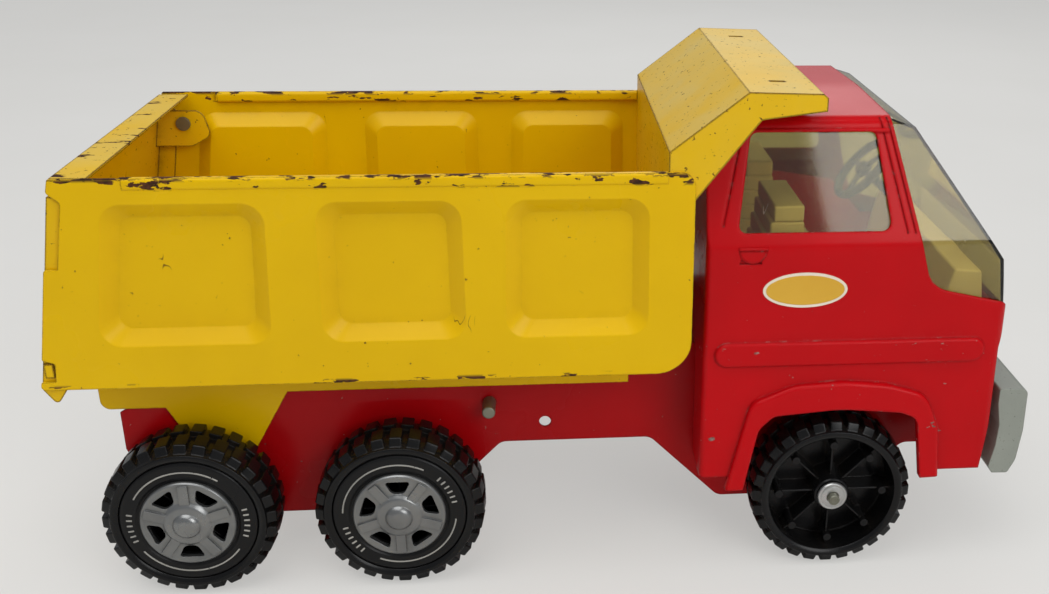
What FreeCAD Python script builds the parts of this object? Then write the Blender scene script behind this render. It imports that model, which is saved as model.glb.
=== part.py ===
"""Toy dump truck in pressed steel: tandem rear axles, tilting bed with a top-hung tailgate, fixed cab.

Frame: millimetres, +X towards the front of the truck, +Y to its left, +Z up.  The origin is on the ground,
at the middle of the truck's overall length and width.
"""
import FreeCAD, Part
import math
import os

# ---- driving dimensions --------------------------------------------------------------------------
overall_length = 395.2      # rear corner of the bed to the front of the bumper
sheet = 1.0                 # steel sheet of the frame, cab and bed

# wheels and axles
wheel_radius = 35.0         # over the tread lugs
wheel_width = 24.0
tread_depth = 2.6
lug_count = 28              # lugs round each shoulder
wheel_outreach = 27.4       # outer face of the middle and rear wheels from the frame's side
front_wheel_outreach = 25.9     # the front wheels stand a little further in
rear_overhang = 45.8        # from the truck's rear end to the rear axle
axle_spacing = 84.3         # between the rear and middle axles
front_overhang = 82.6       # from the front axle to the front of the bumper
axle_radius = 2.38
axle_proud = 2.4            # how far each axle rod's end stands out of the wheel's face
running_gap = 0.06          # radial clearance of everything that turns on a pin
side_gap = 0.3              # sideways clearance of everything that turns or slides past its neighbour

# wheel parts
recess_radius = 27.3        # the tyre's moulded recess that takes the sidewall disc
recess_depth = 14.5
web_thickness = 2.0
hub_radius = 7.6
hub_clearance = 0.8         # between the channel under the bed and the wheels' hubs
spacer_radius = 5.5         # the spacers between the frame and the hubs
sleeve_radius = 4.0         # the retainer's sleeve, on which the wheel turns
retainer_head_radius = 6.5
retainer_head_thickness = 1.7
disc_thickness = 2.0
disc_bore_radius = 15.5
cap_radius = 19.0
cap_thickness = 1.6
cap_ring_radius = 9.6
cap_dome_radius = 5.4
spoke_count = 5
rib_count = 8

# chassis frame
frame_half_width = 43.6
frame_top_half_width = 40.0
crease_rise = 39.0          # from the axles up to the crease in the frame's sides
deck_rise = 60.8            # from the axles up to the frame's flat top
frame_drop = 13.0           # from the axles down to the frame's lower edge
belly_rise = 17.7           # from the axles up to the raised belly between the axles
frame_rear_reach = 29.5     # from the rear axle back to the frame's rear end
cross_rod_radius = 2.75
cross_rod_reach = 37.1      # from the middle axle forward to the cross rod
cross_rod_rise = 36.8
cross_rod_proud = 10.4      # how far the cross rod stands out of the frame's side
side_hole_radius = 2.5
side_hole_reach = 60.5      # from the middle axle forward to the hole in the frame's side
side_hole_rise = 26.8

# bed
bed_half_width = 73.0
side_wall_height = 83.2
bed_front_reach = 63.5      # from the front axle back to the side walls' front ends
headboard_setback = 10.3    # from there back to the inner face of the bed's front wall
rear_lean = 0.181           # how far the rear edge leans forward for each millimetre of height
panel_depth = 4.5           # how far the three pressed panels stand in from each side wall
panel_margin_top = 9.8
panel_margin_bottom = 17.2
panel_band = 6.0            # width of the sloping band round each panel
panel_corner = 6.0
panel_spans = ((23.6, 87.2), (106.4, 161.0), (176.1, 231.7))    # along a bed of panel_bed_length
panel_bed_length = 249.1
hem_width = 3.0             # the side walls' turned-in rim
hem_height = 4.0
bed_pivot_reach = 11.8      # from the rear axle forward to the bed's hinge pin
bed_pivot_rise = 13.0       # from the axles up to the bed's hinge pin
bed_pin_radius = 2.5
channel_gap = 0.6           # between the frame's side and the channel under the bed
rest_gap = 0.3              # between the frame's flat top and the channel that rests on it

# cab guard over the cab, one sheet with the headboard
guard_fold_reach = 44.0     # from the front axle back to the guard's upper fold
guard_front_reach = 14.5    # from the front axle back to the guard's front edge
guard_slot_y = 50.4
guard_slot_setback = 12.5   # from the guard's front edge back to its two slots
guard_slot_length = 6.0
guard_slot_width = 2.2
guard_rise = 113.4          # from the bed's lower edge up to the guard's upper fold
guard_lip = 7.5
guard_flange = 13.0

# tailgate
gate_pivot_reach = 25.6     # from the truck's rear end forward to the tailgate's pins
gate_pivot_drop = 13.3      # from the side walls' rim down to the tailgate's pins
gate_pin_radius = 2.0
gate_gap = 0.4              # between the tailgate and the side walls
gate_flange = 8.5
gate_top_flange = 9.5
gate_lug_inset = 7.0        # outer face of the hinge lugs from the bed's side

# cab
cab_half_width = 68.0
cab_side_lean = 14.8        # how much narrower the roof is on each side
cab_front_reach = 66.5      # from the front axle forward to the cab's front face
cab_back_reach = 57.8       # from the front axle back to the cab's rear wall
cab_skirt_rise = 10.5       # from the axles up to the cab's lower edge
cab_belt_rise = 113.0       # from the axles up to where the sides start to lean in
cab_roof_rise = 161.5
roof_crown = 1.5
roof_edge = 3.0             # bevel along the roof's rear edge
cab_fold_radius = 2.5
flare_height = 3.0          # how far the wheel-arch flares stand out
bead_height = 1.6
glass = 1.2
glass_gap = 0.1
steering_ring = 15.6
steering_wire = 2.0
steering_column = 32.0

# bumper
bumper_inset = 2.0          # how much shorter than the cab's width on each side
bumper_back_reach = 69.8    # from the front axle forward to the bumper's back
bumper_screw_y = 32.0
screw_radius = 1.5

# grille and headlamps in the cab's front wall
grille_half_width = 36.0
grille_height = 20.0
grille_rise = 57.0          # from the axles up to the middle of the grille and lamps
lamp_radius = 8.0
lamp_y = 52.0

# worked-out places along the truck
bed_rear_x = -overall_length / 2
rear_axle_x = bed_rear_x + rear_overhang
middle_axle_x = rear_axle_x + axle_spacing
front_axle_x = overall_length / 2 - front_overhang
frame_rear_x = rear_axle_x - frame_rear_reach
cross_rod_x = middle_axle_x + cross_rod_reach
side_hole_x = middle_axle_x + side_hole_reach
bed_pivot_x = rear_axle_x + bed_pivot_reach
bed_front_x = front_axle_x - bed_front_reach
headboard_x = bed_front_x - headboard_setback
guard_fold_x = front_axle_x - guard_fold_reach
guard_front_x = front_axle_x - guard_front_reach
gate_pivot_x = bed_rear_x + gate_pivot_reach
bumper_front_x = overall_length / 2

# worked-out places across the truck
wheel_face = frame_half_width + wheel_outreach
front_wheel_face = frame_half_width + front_wheel_outreach
axle_tip = wheel_face + axle_proud
cross_rod_tip = frame_half_width + cross_rod_proud
gate_lug_y = bed_half_width - gate_lug_inset
cab_roof_half_width = cab_half_width - cab_side_lean
bumper_half_width = cab_half_width - bumper_inset

# worked-out levels
axle_z = wheel_radius
crease_z = axle_z + crease_rise
deck_z = axle_z + deck_rise
bed_z = deck_z + rest_gap + sheet
rim_z = bed_z + side_wall_height
wall_inner = bed_half_width - sheet
channel_inner = frame_half_width + channel_gap
channel_outer = channel_inner + sheet
hub_inner = channel_outer + hub_clearance
bed_pivot_z = axle_z + bed_pivot_rise
gate_pivot_z = rim_z - gate_pivot_drop
gate_half_width = wall_inner - gate_gap
grille_low = axle_z + grille_rise - grille_height / 2
grille_high = grille_low + grille_height
lamp_z = axle_z + grille_rise
bumper_screw_z = axle_z + 27.0


# ---- helpers -------------------------------------------------------------------------------------
def vec(x, y, z):
    return FreeCAD.Vector(x, y, z)


def box(x0, x1, y0, y1, z0, z1):
    """A block between two corners."""
    return Part.makeBox(x1 - x0, y1 - y0, z1 - z0, vec(x0, y0, z0))


def rod(radius, x, z, y0, y1):
    """A round bar along Y."""
    return Part.makeCylinder(radius, y1 - y0, vec(x, y0, z), vec(0, 1, 0))


def outline(points, place):
    """A closed wire through (a, b) or (a, b, corner radius) points, put in space by place(a, b)."""
    count = len(points)
    starts, ends, middles = [], [], []
    for i, point in enumerate(points):
        here = FreeCAD.Vector(point[0], point[1], 0)
        radius = point[2] if len(point) > 2 else 0.0
        back = FreeCAD.Vector(points[i - 1][0], points[i - 1][1], 0) - here
        ahead = FreeCAD.Vector(points[(i + 1) % count][0], points[(i + 1) % count][1], 0) - here
        back.normalize()
        ahead.normalize()
        if radius == 0.0:
            starts.append(here)
            ends.append(here)
            middles.append(None)
            continue
        half = back.getAngle(ahead) / 2
        reach = radius / math.tan(half)
        bisector = back + ahead
        bisector.normalize()
        starts.append(here + back * reach)
        ends.append(here + ahead * reach)
        middles.append(here + bisector * (radius / math.sin(half) - radius))
    edges = []
    for i in range(count):
        if middles[i] is not None:
            a, m, b = (place(p.x, p.y) for p in (starts[i], middles[i], ends[i]))
            edges.append(Part.Arc(a, m, b).toShape())
        after = (i + 1) % count
        if (starts[after] - ends[i]).Length > 1e-6:
            edges.append(Part.LineSegment(place(ends[i].x, ends[i].y),
                                          place(starts[after].x, starts[after].y)).toShape())
    return Part.Wire(edges)


def side_plate(points, y0, y1):
    """A plate cut to an outline seen from the side, (x, z), from y0 to y1."""
    wire = outline(points, lambda x, z: vec(x, y0, z))
    return Part.Face(wire).extrude(vec(0, y1 - y0, 0))


def front_plate(points, x0, x1):
    """A plate cut to an outline seen from the front, (y, z), from x0 to x1."""
    wire = outline(points, lambda y, z: vec(x0, y, z))
    return Part.Face(wire).extrude(vec(x1 - x0, 0, 0))


def both_sides(shape):
    """The shape and its mirror image across the truck's middle plane."""
    return [shape, shape.mirror(vec(0, 0, 0), vec(0, 1, 0))]


def fused(shapes):
    return shapes[0].multiFuse(shapes[1:]).removeSplitter()


def offset_path(points, distance):
    """The open path moved sideways by distance, to the left of its direction of travel,
    with mitred corners."""
    moved = []
    for i, (a, b) in enumerate(points):
        normals = []
        for j in (i - 1, i):
            if 0 <= j < len(points) - 1:
                da = points[j + 1][0] - points[j][0]
                db = points[j + 1][1] - points[j][1]
                length = math.hypot(da, db)
                normals.append((-db / length, da / length))
        na = sum(n[0] for n in normals) / len(normals)
        nb = sum(n[1] for n in normals) / len(normals)
        stretch = distance / (na * na + nb * nb)
        moved.append((a + na * stretch, b + nb * stretch))
    return moved


def bent_sheet(points, thickness, y0, y1):
    """A folded strip of sheet whose outer side follows the path."""
    inner = offset_path(points, thickness)
    return side_plate(points + inner[::-1], y0, y1)


def edges_where(shape, test):
    """The edges whose middle point passes the test."""
    chosen = []
    for edge in shape.Edges:
        middle = edge.valueAt((edge.FirstParameter + edge.LastParameter) / 2)
        if test(middle):
            chosen.append(edge)
    return chosen


def near(value, target, tolerance=0.05):
    return abs(value - target) < tolerance


def from_front_axle(points):
    """Points given from the front axle's centre, moved to their place."""
    return [(front_axle_x + p[0], axle_z + p[1]) + tuple(p[2:]) for p in points]


# ---- chassis -------------------------------------------------------------------------------------
def frame_profile(inset):
    """The frame seen from the side; inset shrinks the top only, for the hollow."""
    low = axle_z - frame_drop
    belly = axle_z + belly_rise
    top = deck_z - inset
    nose_x = front_axle_x + cab_front_reach - sheet - 0.3
    depth = belly - low
    return [
        (frame_rear_x, axle_z + 20.0),
        (rear_axle_x - 17.0, low, 6.0),
        (middle_axle_x + 10.8, low, 6.0),
        (middle_axle_x + 10.8 + depth, belly, 6.0),
        (front_axle_x - 76.6, belly, 6.0),
        (front_axle_x - 76.6 + depth, low, 6.0),
        (front_axle_x + 22.0, low, 6.0),
        (front_axle_x + 36.0, axle_z + 10.7, 6.0),
        (nose_x - 2.6, axle_z + 10.7),
        (nose_x, axle_z + 31.0),
        (nose_x, axle_z + 42.0 - inset),
        (front_axle_x + 46.0, top),
        (bed_pivot_x - 2.0, top),
        (frame_rear_x, deck_z - 23.8 - inset),
    ]


def frame_section(inset):
    """The frame seen from behind: upright sides that lean in above the crease."""
    low = axle_z - frame_drop - 5.0
    side = frame_half_width - inset
    top = frame_top_half_width - inset
    return [(-side, low), (side, low), (side, crease_z), (top, deck_z + 5.0), (-top, deck_z + 5.0),
            (-side, crease_z)]


def chassis_frame():
    x0 = frame_rear_x - 10.0
    x1 = front_axle_x + cab_front_reach + 10.0
    reach = frame_half_width + 10.0
    outer = side_plate(frame_profile(0.0), -reach, reach).common(front_plate(frame_section(0.0), x0, x1))
    hollow = side_plate(frame_profile(sheet), -reach, reach).common(front_plate(frame_section(sheet),
                                                                                x0, x1))
    opened = hollow.translated(vec(-sheet * 2, 0, 0)).fuse(hollow.translated(vec(-sheet, 0, 0)))
    low_part = box(x0, x1 - 10.0 - sheet * 2 - 0.3, -frame_half_width + sheet, frame_half_width - sheet,
                   0.0, crease_z)
    hollow_low = low_part.common(side_plate(frame_profile(sheet), -reach, reach).fuse(
        box(x0, front_axle_x + cab_front_reach - sheet * 2 - 0.3, -reach, reach, 0.0, axle_z + 20.0)))
    shell = outer.cut(opened).cut(hollow_low)
    holes = [rod(axle_radius, x, axle_z, -reach, reach) for x in (rear_axle_x, middle_axle_x, front_axle_x)]
    holes.append(rod(bed_pin_radius, bed_pivot_x, bed_pivot_z, -reach, reach))
    holes.append(rod(cross_rod_radius, cross_rod_x, axle_z + cross_rod_rise, -reach, reach))
    holes.append(rod(side_hole_radius, side_hole_x, axle_z + side_hole_rise, -reach, reach))
    for y in (-bumper_screw_y, bumper_screw_y):
        holes.append(Part.makeCylinder(screw_radius, 20.0, vec(front_axle_x + cab_front_reach - 10.0, y,
                                                              bumper_screw_z), vec(1, 0, 0)))
    return shell.cut(Part.makeCompound(holes))


def axle_rod(x):
    """A plain steel axle with slightly rounded tips."""
    bar = rod(axle_radius, x, axle_z, -axle_tip, axle_tip)
    tips = edges_where(bar, lambda p: near(abs(p.y), axle_tip))
    return bar.makeFillet(0.5, tips)


def cross_rod():
    """The loose-looking steel rod that ties the frame's sides together and stands out on both sides."""
    bar = rod(cross_rod_radius, cross_rod_x, axle_z + cross_rod_rise, -cross_rod_tip, cross_rod_tip)
    tips = edges_where(bar, lambda p: near(abs(p.y), cross_rod_tip))
    return bar.makeFillet(0.7, tips)


def bed_hinge_pin():
    tip = channel_outer + 0.7
    return rod(bed_pin_radius, bed_pivot_x, bed_pivot_z, -tip, tip)


# ---- wheels: built about their own axis, outer face at y = 0, inner side towards +Y --------------
def turned(points):
    """A solid turned about the Y axis from (radius, y) points."""
    wire = outline(points, lambda r, y: vec(r, y, 0))
    return Part.Face(wire).revolve(vec(0, 0, 0), vec(0, 1, 0), 360)


def around(shape, count, first=0.0):
    """Copies of a shape turned about the Y axis."""
    return [shape.rotated(vec(0, 0, 0), vec(0, 1, 0), first + 360.0 * i / count) for i in range(count)]


def hub_spacers():
    """Rings pressed on the axles against the frame's sides, which keep the wheels clear of the channel."""
    rings = []
    for x in (rear_axle_x, middle_axle_x, front_axle_x):
        ring = rod(spacer_radius, x, axle_z, frame_half_width, hub_inner - side_gap)
        rings += both_sides(ring.cut(rod(axle_radius, x, axle_z, frame_half_width - 1.0, hub_inner)))
    return Part.makeCompound(rings)


def hub_end(face):
    """Where the wheel's hub ends on its inner side, from the wheel's outer face."""
    return face - hub_inner


def tyre(face):
    """One-piece moulded wheel and tyre: lugged tread, deep recess with ribs and posts, and a hub."""
    carcass = wheel_radius - tread_depth
    web = recess_depth
    bore = sleeve_radius + running_gap
    hub_face = retainer_head_thickness - 0.8 + side_gap
    body = turned([
        (recess_radius, 1.0, 0.4), (recess_radius + 2.3, 0.0, 1.0), (carcass - 0.6, 3.0, 2.0),
        (carcass, wheel_width / 2, 30.0), (carcass - 0.6, wheel_width - 3.0, 2.0),
        (recess_radius + 2.0, wheel_width, 1.0), (recess_radius - 1.0, wheel_width - 0.6),
        (recess_radius - 1.0, web + web_thickness), (hub_radius, web + web_thickness),
        (hub_radius, hub_end(face)), (bore, hub_end(face)), (bore, hub_face), (hub_radius, hub_face),
        (hub_radius + 0.8, web), (recess_radius - 0.6, web)])
    lug_width = 4.6
    lug_reach = wheel_width * 0.46
    shoulder = box(-lug_width / 2, lug_width / 2, 0.6, lug_reach, recess_radius + 3.0, wheel_radius)
    shoulder = shoulder.cut(side_wedge(lug_width))
    inner_lug = shoulder.mirror(vec(0, wheel_width / 2, 0), vec(0, 1, 0)).translated(vec(0, 0, -0.12))
    lugs = around(shoulder, lug_count) + around(inner_lug, lug_count, 180.0 / lug_count)
    rib = box(-0.5, 0.5, web - 9.0, web + 0.5, hub_radius - 1.0, recess_radius)
    post_y = 1.0 + disc_thickness
    post = Part.makeCylinder(1.9, web - post_y + 0.5, vec(0, post_y, recess_radius * 0.83), vec(0, 1, 0))
    ribs = around(rib.fuse(post), rib_count)
    return body.multiFuse(lugs + ribs)


def side_wedge(lug_width):
    """What is cut off a lug's outer end, so that it slopes down the shoulder."""
    low = recess_radius + 3.0
    wedge = Part.makePolygon([vec(-lug_width, -1.0, low - 1.0), vec(-lug_width, 0.6, low - 1.0),
                              vec(-lug_width, 2.6, wheel_radius + 1.0),
                              vec(-lug_width, -1.0, wheel_radius + 1.0),
                              vec(-lug_width, -1.0, low - 1.0)])
    return Part.Face(wedge).extrude(vec(lug_width * 2, 0, 0))


def wheel_retainer():
    """Zinc cap pressed on the axle's end: its sleeve carries the wheel and its head keeps it on."""
    head_back = retainer_head_thickness - 0.8
    return turned([(axle_radius, -0.8), (retainer_head_radius, -0.8, 0.4),
                   (retainer_head_radius, head_back, 0.4), (sleeve_radius, head_back),
                   (sleeve_radius, recess_depth + 4.0), (axle_radius, recess_depth + 4.0)])


def sidewall_disc():
    """Black disc that closes the tyre's recess and stands on its posts."""
    outer = recess_radius - 0.3
    return turned([(disc_bore_radius, 1.0), (cap_radius + 0.5, 1.0), (outer - 3.0, 0.4, 6.0),
                   (outer, 1.0, 0.3),
                   (outer, 1.0 + disc_thickness), (disc_bore_radius, 1.0 + disc_thickness)])


def cap_window():
    """The rounded triangular hole between two spokes of the hub cap."""
    points = [(-4.6, 15.4, 1.6), (4.6, 15.4, 1.6), (0.0, 9.4, 1.8)]
    return side_plate(points, -2.0, 3.0)


def hub_cap():
    """Hub cap with a flat rim, five raised spokes, a ring and a domed centre that clears the axle's tip."""
    rim_face = 1.0 - cap_thickness
    dome_face = -4.7
    body = turned([
        (0.0, dome_face), (cap_dome_radius - 1.2, dome_face, 1.6), (cap_dome_radius, -2.4, 0.5),
        (cap_ring_radius - 1.2, -2.0, 0.6), (cap_ring_radius, rim_face), (cap_radius - 1.0, rim_face, 0.6),
        (cap_radius, 0.4), (cap_radius, 1.0), (retainer_head_radius + 0.7, 1.0),
        (retainer_head_radius + 0.7, -1.1), (axle_radius + 0.7, -1.1), (axle_radius + 0.7, dome_face + 0.7),
        (0.0, dome_face + 0.7)])
    windows = around(cap_window(), spoke_count)
    spoke = box(-1.3, 1.3, rim_face - 0.9, rim_face + 0.2, cap_ring_radius - 1.0, cap_radius - 2.2)
    spokes = around(spoke, spoke_count, 180.0 / spoke_count)
    return body.cut(Part.makeCompound(windows)).multiFuse(spokes)


def placed_wheel_part(shape, x, face, left, turn=0.0):
    """A wheel part moved to its axle, with its outer side outwards."""
    spun = shape.rotated(vec(0, 0, 0), vec(0, 1, 0), turn)
    if left:
        return spun.rotated(vec(0, 0, 0), vec(0, 0, 1), 180).translated(vec(x, face, axle_z))
    return spun.translated(vec(x, -face, axle_z))


# ---- bed -----------------------------------------------------------------------------------------
def rear_edge_x(z):
    """The bed's slanted rear edge at a height."""
    return bed_rear_x + (z - bed_z) * rear_lean


def wall_profile():
    """One side wall seen from the side, with the cut-back for the tailgate's flange and the latch notch."""
    cut_top = rim_z - 7.5
    cut_low = rim_z - 34.5
    notch_top = bed_z + 12.4
    notch_low = bed_z + 3.3
    return [
        (bed_rear_x, bed_z, 1.5), (bed_front_x, bed_z, 14.0), (bed_front_x, rim_z, 6.0),
        (rear_edge_x(rim_z) + 0.5, rim_z, 0.8), (rear_edge_x(cut_top) + 0.6, cut_top + 2.4, 1.5),
        (rear_edge_x(cut_top) + 5.0, cut_top - 1.5, 1.5), (rear_edge_x(cut_low) + 5.0, cut_low, 0.6),
        (rear_edge_x(cut_low), cut_low, 1.2), (rear_edge_x(notch_top), notch_top, 0.8),
        (rear_edge_x(notch_top) + 4.6, notch_top - 1.5, 0.6),
        (rear_edge_x(notch_low) + 5.4, notch_low, 0.6),
        (rear_edge_x(notch_low), notch_low, 0.6)]


def panel_outlines():
    """The three pressed panels: each as the outer outline of its sloping band."""
    low = bed_z + panel_margin_bottom
    high = rim_z - panel_margin_top
    slant = (high - low) * rear_lean
    stretch = (bed_front_x - bed_rear_x) / panel_bed_length
    panels = []
    for index, (start, end) in enumerate(panel_spans):
        x0 = bed_rear_x + start * stretch
        x1 = bed_rear_x + end * stretch
        lean = (slant - 1.6, 2.4) if index == 0 else (1.4, 0.0)
        panels.append([(x0, low), (x1, low), (x1 + lean[1], high), (x0 + lean[0], high)])
    return panels


def pressed_panel(corners, inwards):
    """The tapered block that a panel's press tool would fill, from the wall's face inwards."""
    a, b, c, d = corners
    band = panel_band
    outer = [p + (panel_corner + 2.0,) for p in (a, b, c, d)]
    slope = (d[0] - a[0]) / (d[1] - a[1]) * band
    inner = [(a[0] + band + slope, a[1] + band, panel_corner - 1.0),
             (b[0] - band, b[1] + band, panel_corner - 1.0),
             (c[0] - band, c[1] - band, panel_corner - 1.0),
             (d[0] + band - slope, d[1] - band, panel_corner - 1.0)]
    start = -bed_half_width + inwards
    wire_out = outline(outer, lambda x, z: vec(x, start, z))
    wire_in = outline(inner, lambda x, z: vec(x, start + panel_depth, z))
    return Part.makeLoft([wire_out, wire_in], True, True)


def side_wall():
    """The right side wall: sheet with three panels pressed in and a turned-in rim."""
    wall = side_plate(wall_profile(), -bed_half_width, -wall_inner)
    panels = panel_outlines()
    wall = wall.multiFuse([pressed_panel(p, sheet) for p in panels])
    for panel in panels:
        wall = wall.cut(pressed_panel(panel, 0.0))
    hem = box(gate_pivot_x + 14.5, headboard_x - 0.2, -bed_half_width, hem_width - bed_half_width,
              rim_z - hem_height, rim_z)
    round_edges = edges_where(hem, lambda p: near(p.z, rim_z) and (near(p.y, -bed_half_width) or
                                                                  near(p.y, hem_width - bed_half_width)))
    return wall.fuse(hem.makeFillet(1.2, round_edges))


def bed_tub():
    """Floor and both side walls, folded from one sheet."""
    gate_inner = rear_edge_x(bed_z) + sheet + gate_gap + 0.5
    floor = box(gate_inner, headboard_x, -wall_inner, wall_inner, bed_z, bed_z + sheet)
    notches = both_sides(box(gate_inner - 1.0, rear_edge_x(bed_z) + gate_flange + 2.0, -wall_inner,
                             gate_flange_inner() + 0.7, bed_z - 1.0, bed_z + sheet * 2))
    floor = floor.cut(Part.makeCompound(notches))
    return fused([floor] + both_sides(side_wall()))


def gate_flange_inner():
    """Inner face of the tailgate's right side flange."""
    return -gate_half_width + sheet


def headboard():
    """Front wall of the bed and the guard over the cab, one folded sheet with turned-down edges."""
    fold_z = rim_z + 7.7
    top_z = bed_z + guard_rise
    path = [(headboard_x, bed_z), (headboard_x, fold_z), (guard_fold_x - 0.4, top_z),
            (guard_front_x - 1.8, top_z - 0.8), (guard_front_x, top_z - 2.4),
            (guard_front_x, top_z - guard_lip)]
    skin = bent_sheet(path, -sheet, -wall_inner, wall_inner)
    flange_points = [
        (headboard_x + sheet * 0.5, rim_z - 24.0), (headboard_x + sheet * 0.5, fold_z - 0.3),
        (guard_fold_x - 0.2, top_z - sheet * 0.5), (guard_front_x - 2.2, top_z - 1.4),
        (guard_front_x - sheet * 0.5, top_z - 2.8), (guard_front_x - sheet * 0.5, top_z - guard_lip),
        (guard_fold_x + 4.8, top_z - guard_flange + 2.4, 2.0)]
    flange = side_plate(flange_points, -wall_inner, -wall_inner + sheet)
    slots = []
    slot_front = guard_front_x - guard_slot_setback
    for y in (-guard_slot_y, guard_slot_y):
        slots.append(box(slot_front - guard_slot_length, slot_front, y - guard_slot_width / 2,
                         y + guard_slot_width / 2, top_z - 5.0, top_z + 2.0))
    return fused([skin] + both_sides(flange)).cut(Part.makeCompound(slots))


def ear_hole():
    return rod(bed_pin_radius + running_gap, bed_pivot_x, bed_pivot_z, -bed_half_width, bed_half_width)


def bed_channel():
    """Channel welded under the floor: it straddles the frame and carries the two hinge ears."""
    rear = bed_rear_x + 9.7
    front = headboard_x - 12.6
    low = deck_z - 15.5
    rear_low = deck_z - 21.4
    ear = 8.4
    flange = [
        (rear, bed_z), (rear + 0.1, rear_low, 4.0), (bed_pivot_x - 22.4, rear_low),
        (bed_pivot_x - ear, bed_pivot_z), (bed_pivot_x - ear + 1.0, bed_pivot_z - ear, 5.0),
        (bed_pivot_x + ear - 1.0, bed_pivot_z - ear, 5.0), (bed_pivot_x + ear, bed_pivot_z),
        (bed_pivot_x + 27.0, low), (front, low), (front, bed_z)]
    sides = both_sides(side_plate(flange, -channel_outer, -channel_inner))
    web = box(rear, front, -channel_outer, channel_outer, bed_z - sheet, bed_z)
    return fused([web] + sides).cut(ear_hole())


def gate_line(z, inset=0.0):
    """The tailgate's outer face at a height, moved in by inset."""
    return rear_edge_x(z) + inset * math.hypot(1.0, rear_lean)


def tailgate():
    """Top-hung tailgate: slanted panel, flat top flange, side flanges, hinge lugs and small latch ears."""
    top = rim_z - 0.6
    low = bed_z + 0.3
    flange_top = rim_z - 7.0
    panel = side_plate([(gate_line(low), low), (gate_line(low, sheet), low), (gate_line(top, sheet), top),
                        (gate_line(top), top)], -gate_half_width, gate_half_width)
    upper_cut = both_sides(box(bed_rear_x, bed_rear_x + 40.0, -bed_half_width, -gate_half_width + 2.0,
                               flange_top, rim_z + 1.0))
    panel = panel.cut(Part.makeCompound(upper_cut))
    lip = box(gate_line(top), gate_line(top) + gate_top_flange + 3.5, -gate_half_width + 2.0,
              gate_half_width - 2.0, top - sheet, top)
    flange = side_plate([
        (gate_line(low) + 0.2, low - 0.8), (gate_line(low) + 4.6, low - 7.2, 1.5),
        (gate_line(low) + gate_flange + 1.0, low),
        (gate_line(flange_top) + gate_flange, flange_top, 3.0), (gate_line(flange_top) + 0.2, flange_top)],
        -gate_half_width, gate_flange_inner())
    lug_low = gate_pivot_z - 11.0
    lug = side_plate([
        (gate_line(lug_low) + 0.3, lug_low), (gate_pivot_x + 3.0, lug_low, 3.0),
        (gate_pivot_x + 12.0, lug_low + 5.0, 4.0),
        (gate_pivot_x + 9.0, gate_pivot_z + 6.0, 5.0),
        (gate_line(gate_pivot_z + 6.0) + 0.3, gate_pivot_z + 6.0)],
        -gate_lug_y, -gate_lug_y + sheet)
    latch_z = bed_z + 8.0
    latch = box(gate_line(latch_z) + 1.0, gate_line(latch_z) + 4.2, -wall_inner - 0.6,
                -gate_half_width + 0.2,
                latch_z - 3.0, latch_z + 2.6)
    pieces = [panel, lip] + both_sides(flange) + both_sides(lug) + both_sides(latch)
    return fused(pieces).cut(rod(gate_pin_radius + running_gap, gate_pivot_x, gate_pivot_z,
                                 -gate_lug_y - 2.0, gate_lug_y + 2.0))


def tailgate_pins():
    """Two headed pins on the side walls' inner faces, on which the tailgate's lugs turn."""
    head_y = gate_lug_y - sheet - side_gap
    shank = rod(gate_pin_radius, gate_pivot_x, gate_pivot_z, -wall_inner, -head_y)
    head = rod(gate_pin_radius + 1.2, gate_pivot_x, gate_pivot_z, -head_y, -head_y + 1.2)
    return Part.makeCompound(both_sides(shank.fuse(head).removeSplitter()))


# ---- cab -----------------------------------------------------------------------------------------
def cab_profile():
    """The cab's side seen from the side: upright back, flat roof, leaning pillar, hood ledge and nose."""
    front = cab_front_reach
    return from_front_axle([
        (-cab_back_reach, cab_skirt_rise), (-cab_back_reach, cab_roof_rise - roof_edge * 1.4),
        (-cab_back_reach + roof_edge, cab_roof_rise + roof_crown),
        (-cab_back_reach + roof_edge, cab_roof_rise + 8.0), (15.9, cab_roof_rise + 8.0),
        (15.9, cab_roof_rise - 1.0), (34.2, 94.6, 13.0),
        (front + 1.6, 87.0, 5.0), (front + 1.6, 75.0, 3.0), (front - 0.4, 67.0, 3.0), (front, 31.0),
        (front - 2.6, cab_skirt_rise)])


def cab_section(inset):
    """The cab seen from the front: upright sides that lean in above the belt, and a crowned roof."""
    side = cab_half_width - inset
    roof = cab_roof_half_width - inset
    top = cab_roof_rise - inset + axle_z
    belt = cab_belt_rise + axle_z
    low = axle_z - 30.0
    corner = 5.0 - min(inset, 3.0)
    return [(-side, low), (-side, belt, 12.0), (-roof, top, corner), (0.0, top + roof_crown, 300.0),
            (roof, top, corner), (side, belt, 12.0), (side, low)]


def cab_prism(inset, x0, x1):
    return front_plate(cab_section(inset), x0, x1)


def cab_plan(inset):
    """The cab seen from above: a rectangle with rounded corners, as tall as the cab."""
    back = front_axle_x - cab_back_reach + inset
    front = front_axle_x + cab_front_reach + 1.6 - inset
    side = cab_half_width - inset
    corner = cab_fold_radius - inset * 0.9
    wire = outline([(back, -side, corner), (front, -side, corner * 2), (front, side, corner * 2),
                    (back, side, corner)], lambda x, y: vec(x, y, 0.0))
    return Part.Face(wire).extrude(vec(0, 0, axle_z + cab_roof_rise + 30.0))


def arch_opening():
    """The wheel-arch opening in the cab's side."""
    return from_front_axle([
        (-39.6, 5.0), (-34.0, 34.0, 7.0), (-28.0, 40.0, 6.0), (0.0, 42.4, 60.0), (26.0, 40.0, 6.0),
        (33.4, 37.0, 6.0),
        (37.6, 5.0)])


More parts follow.
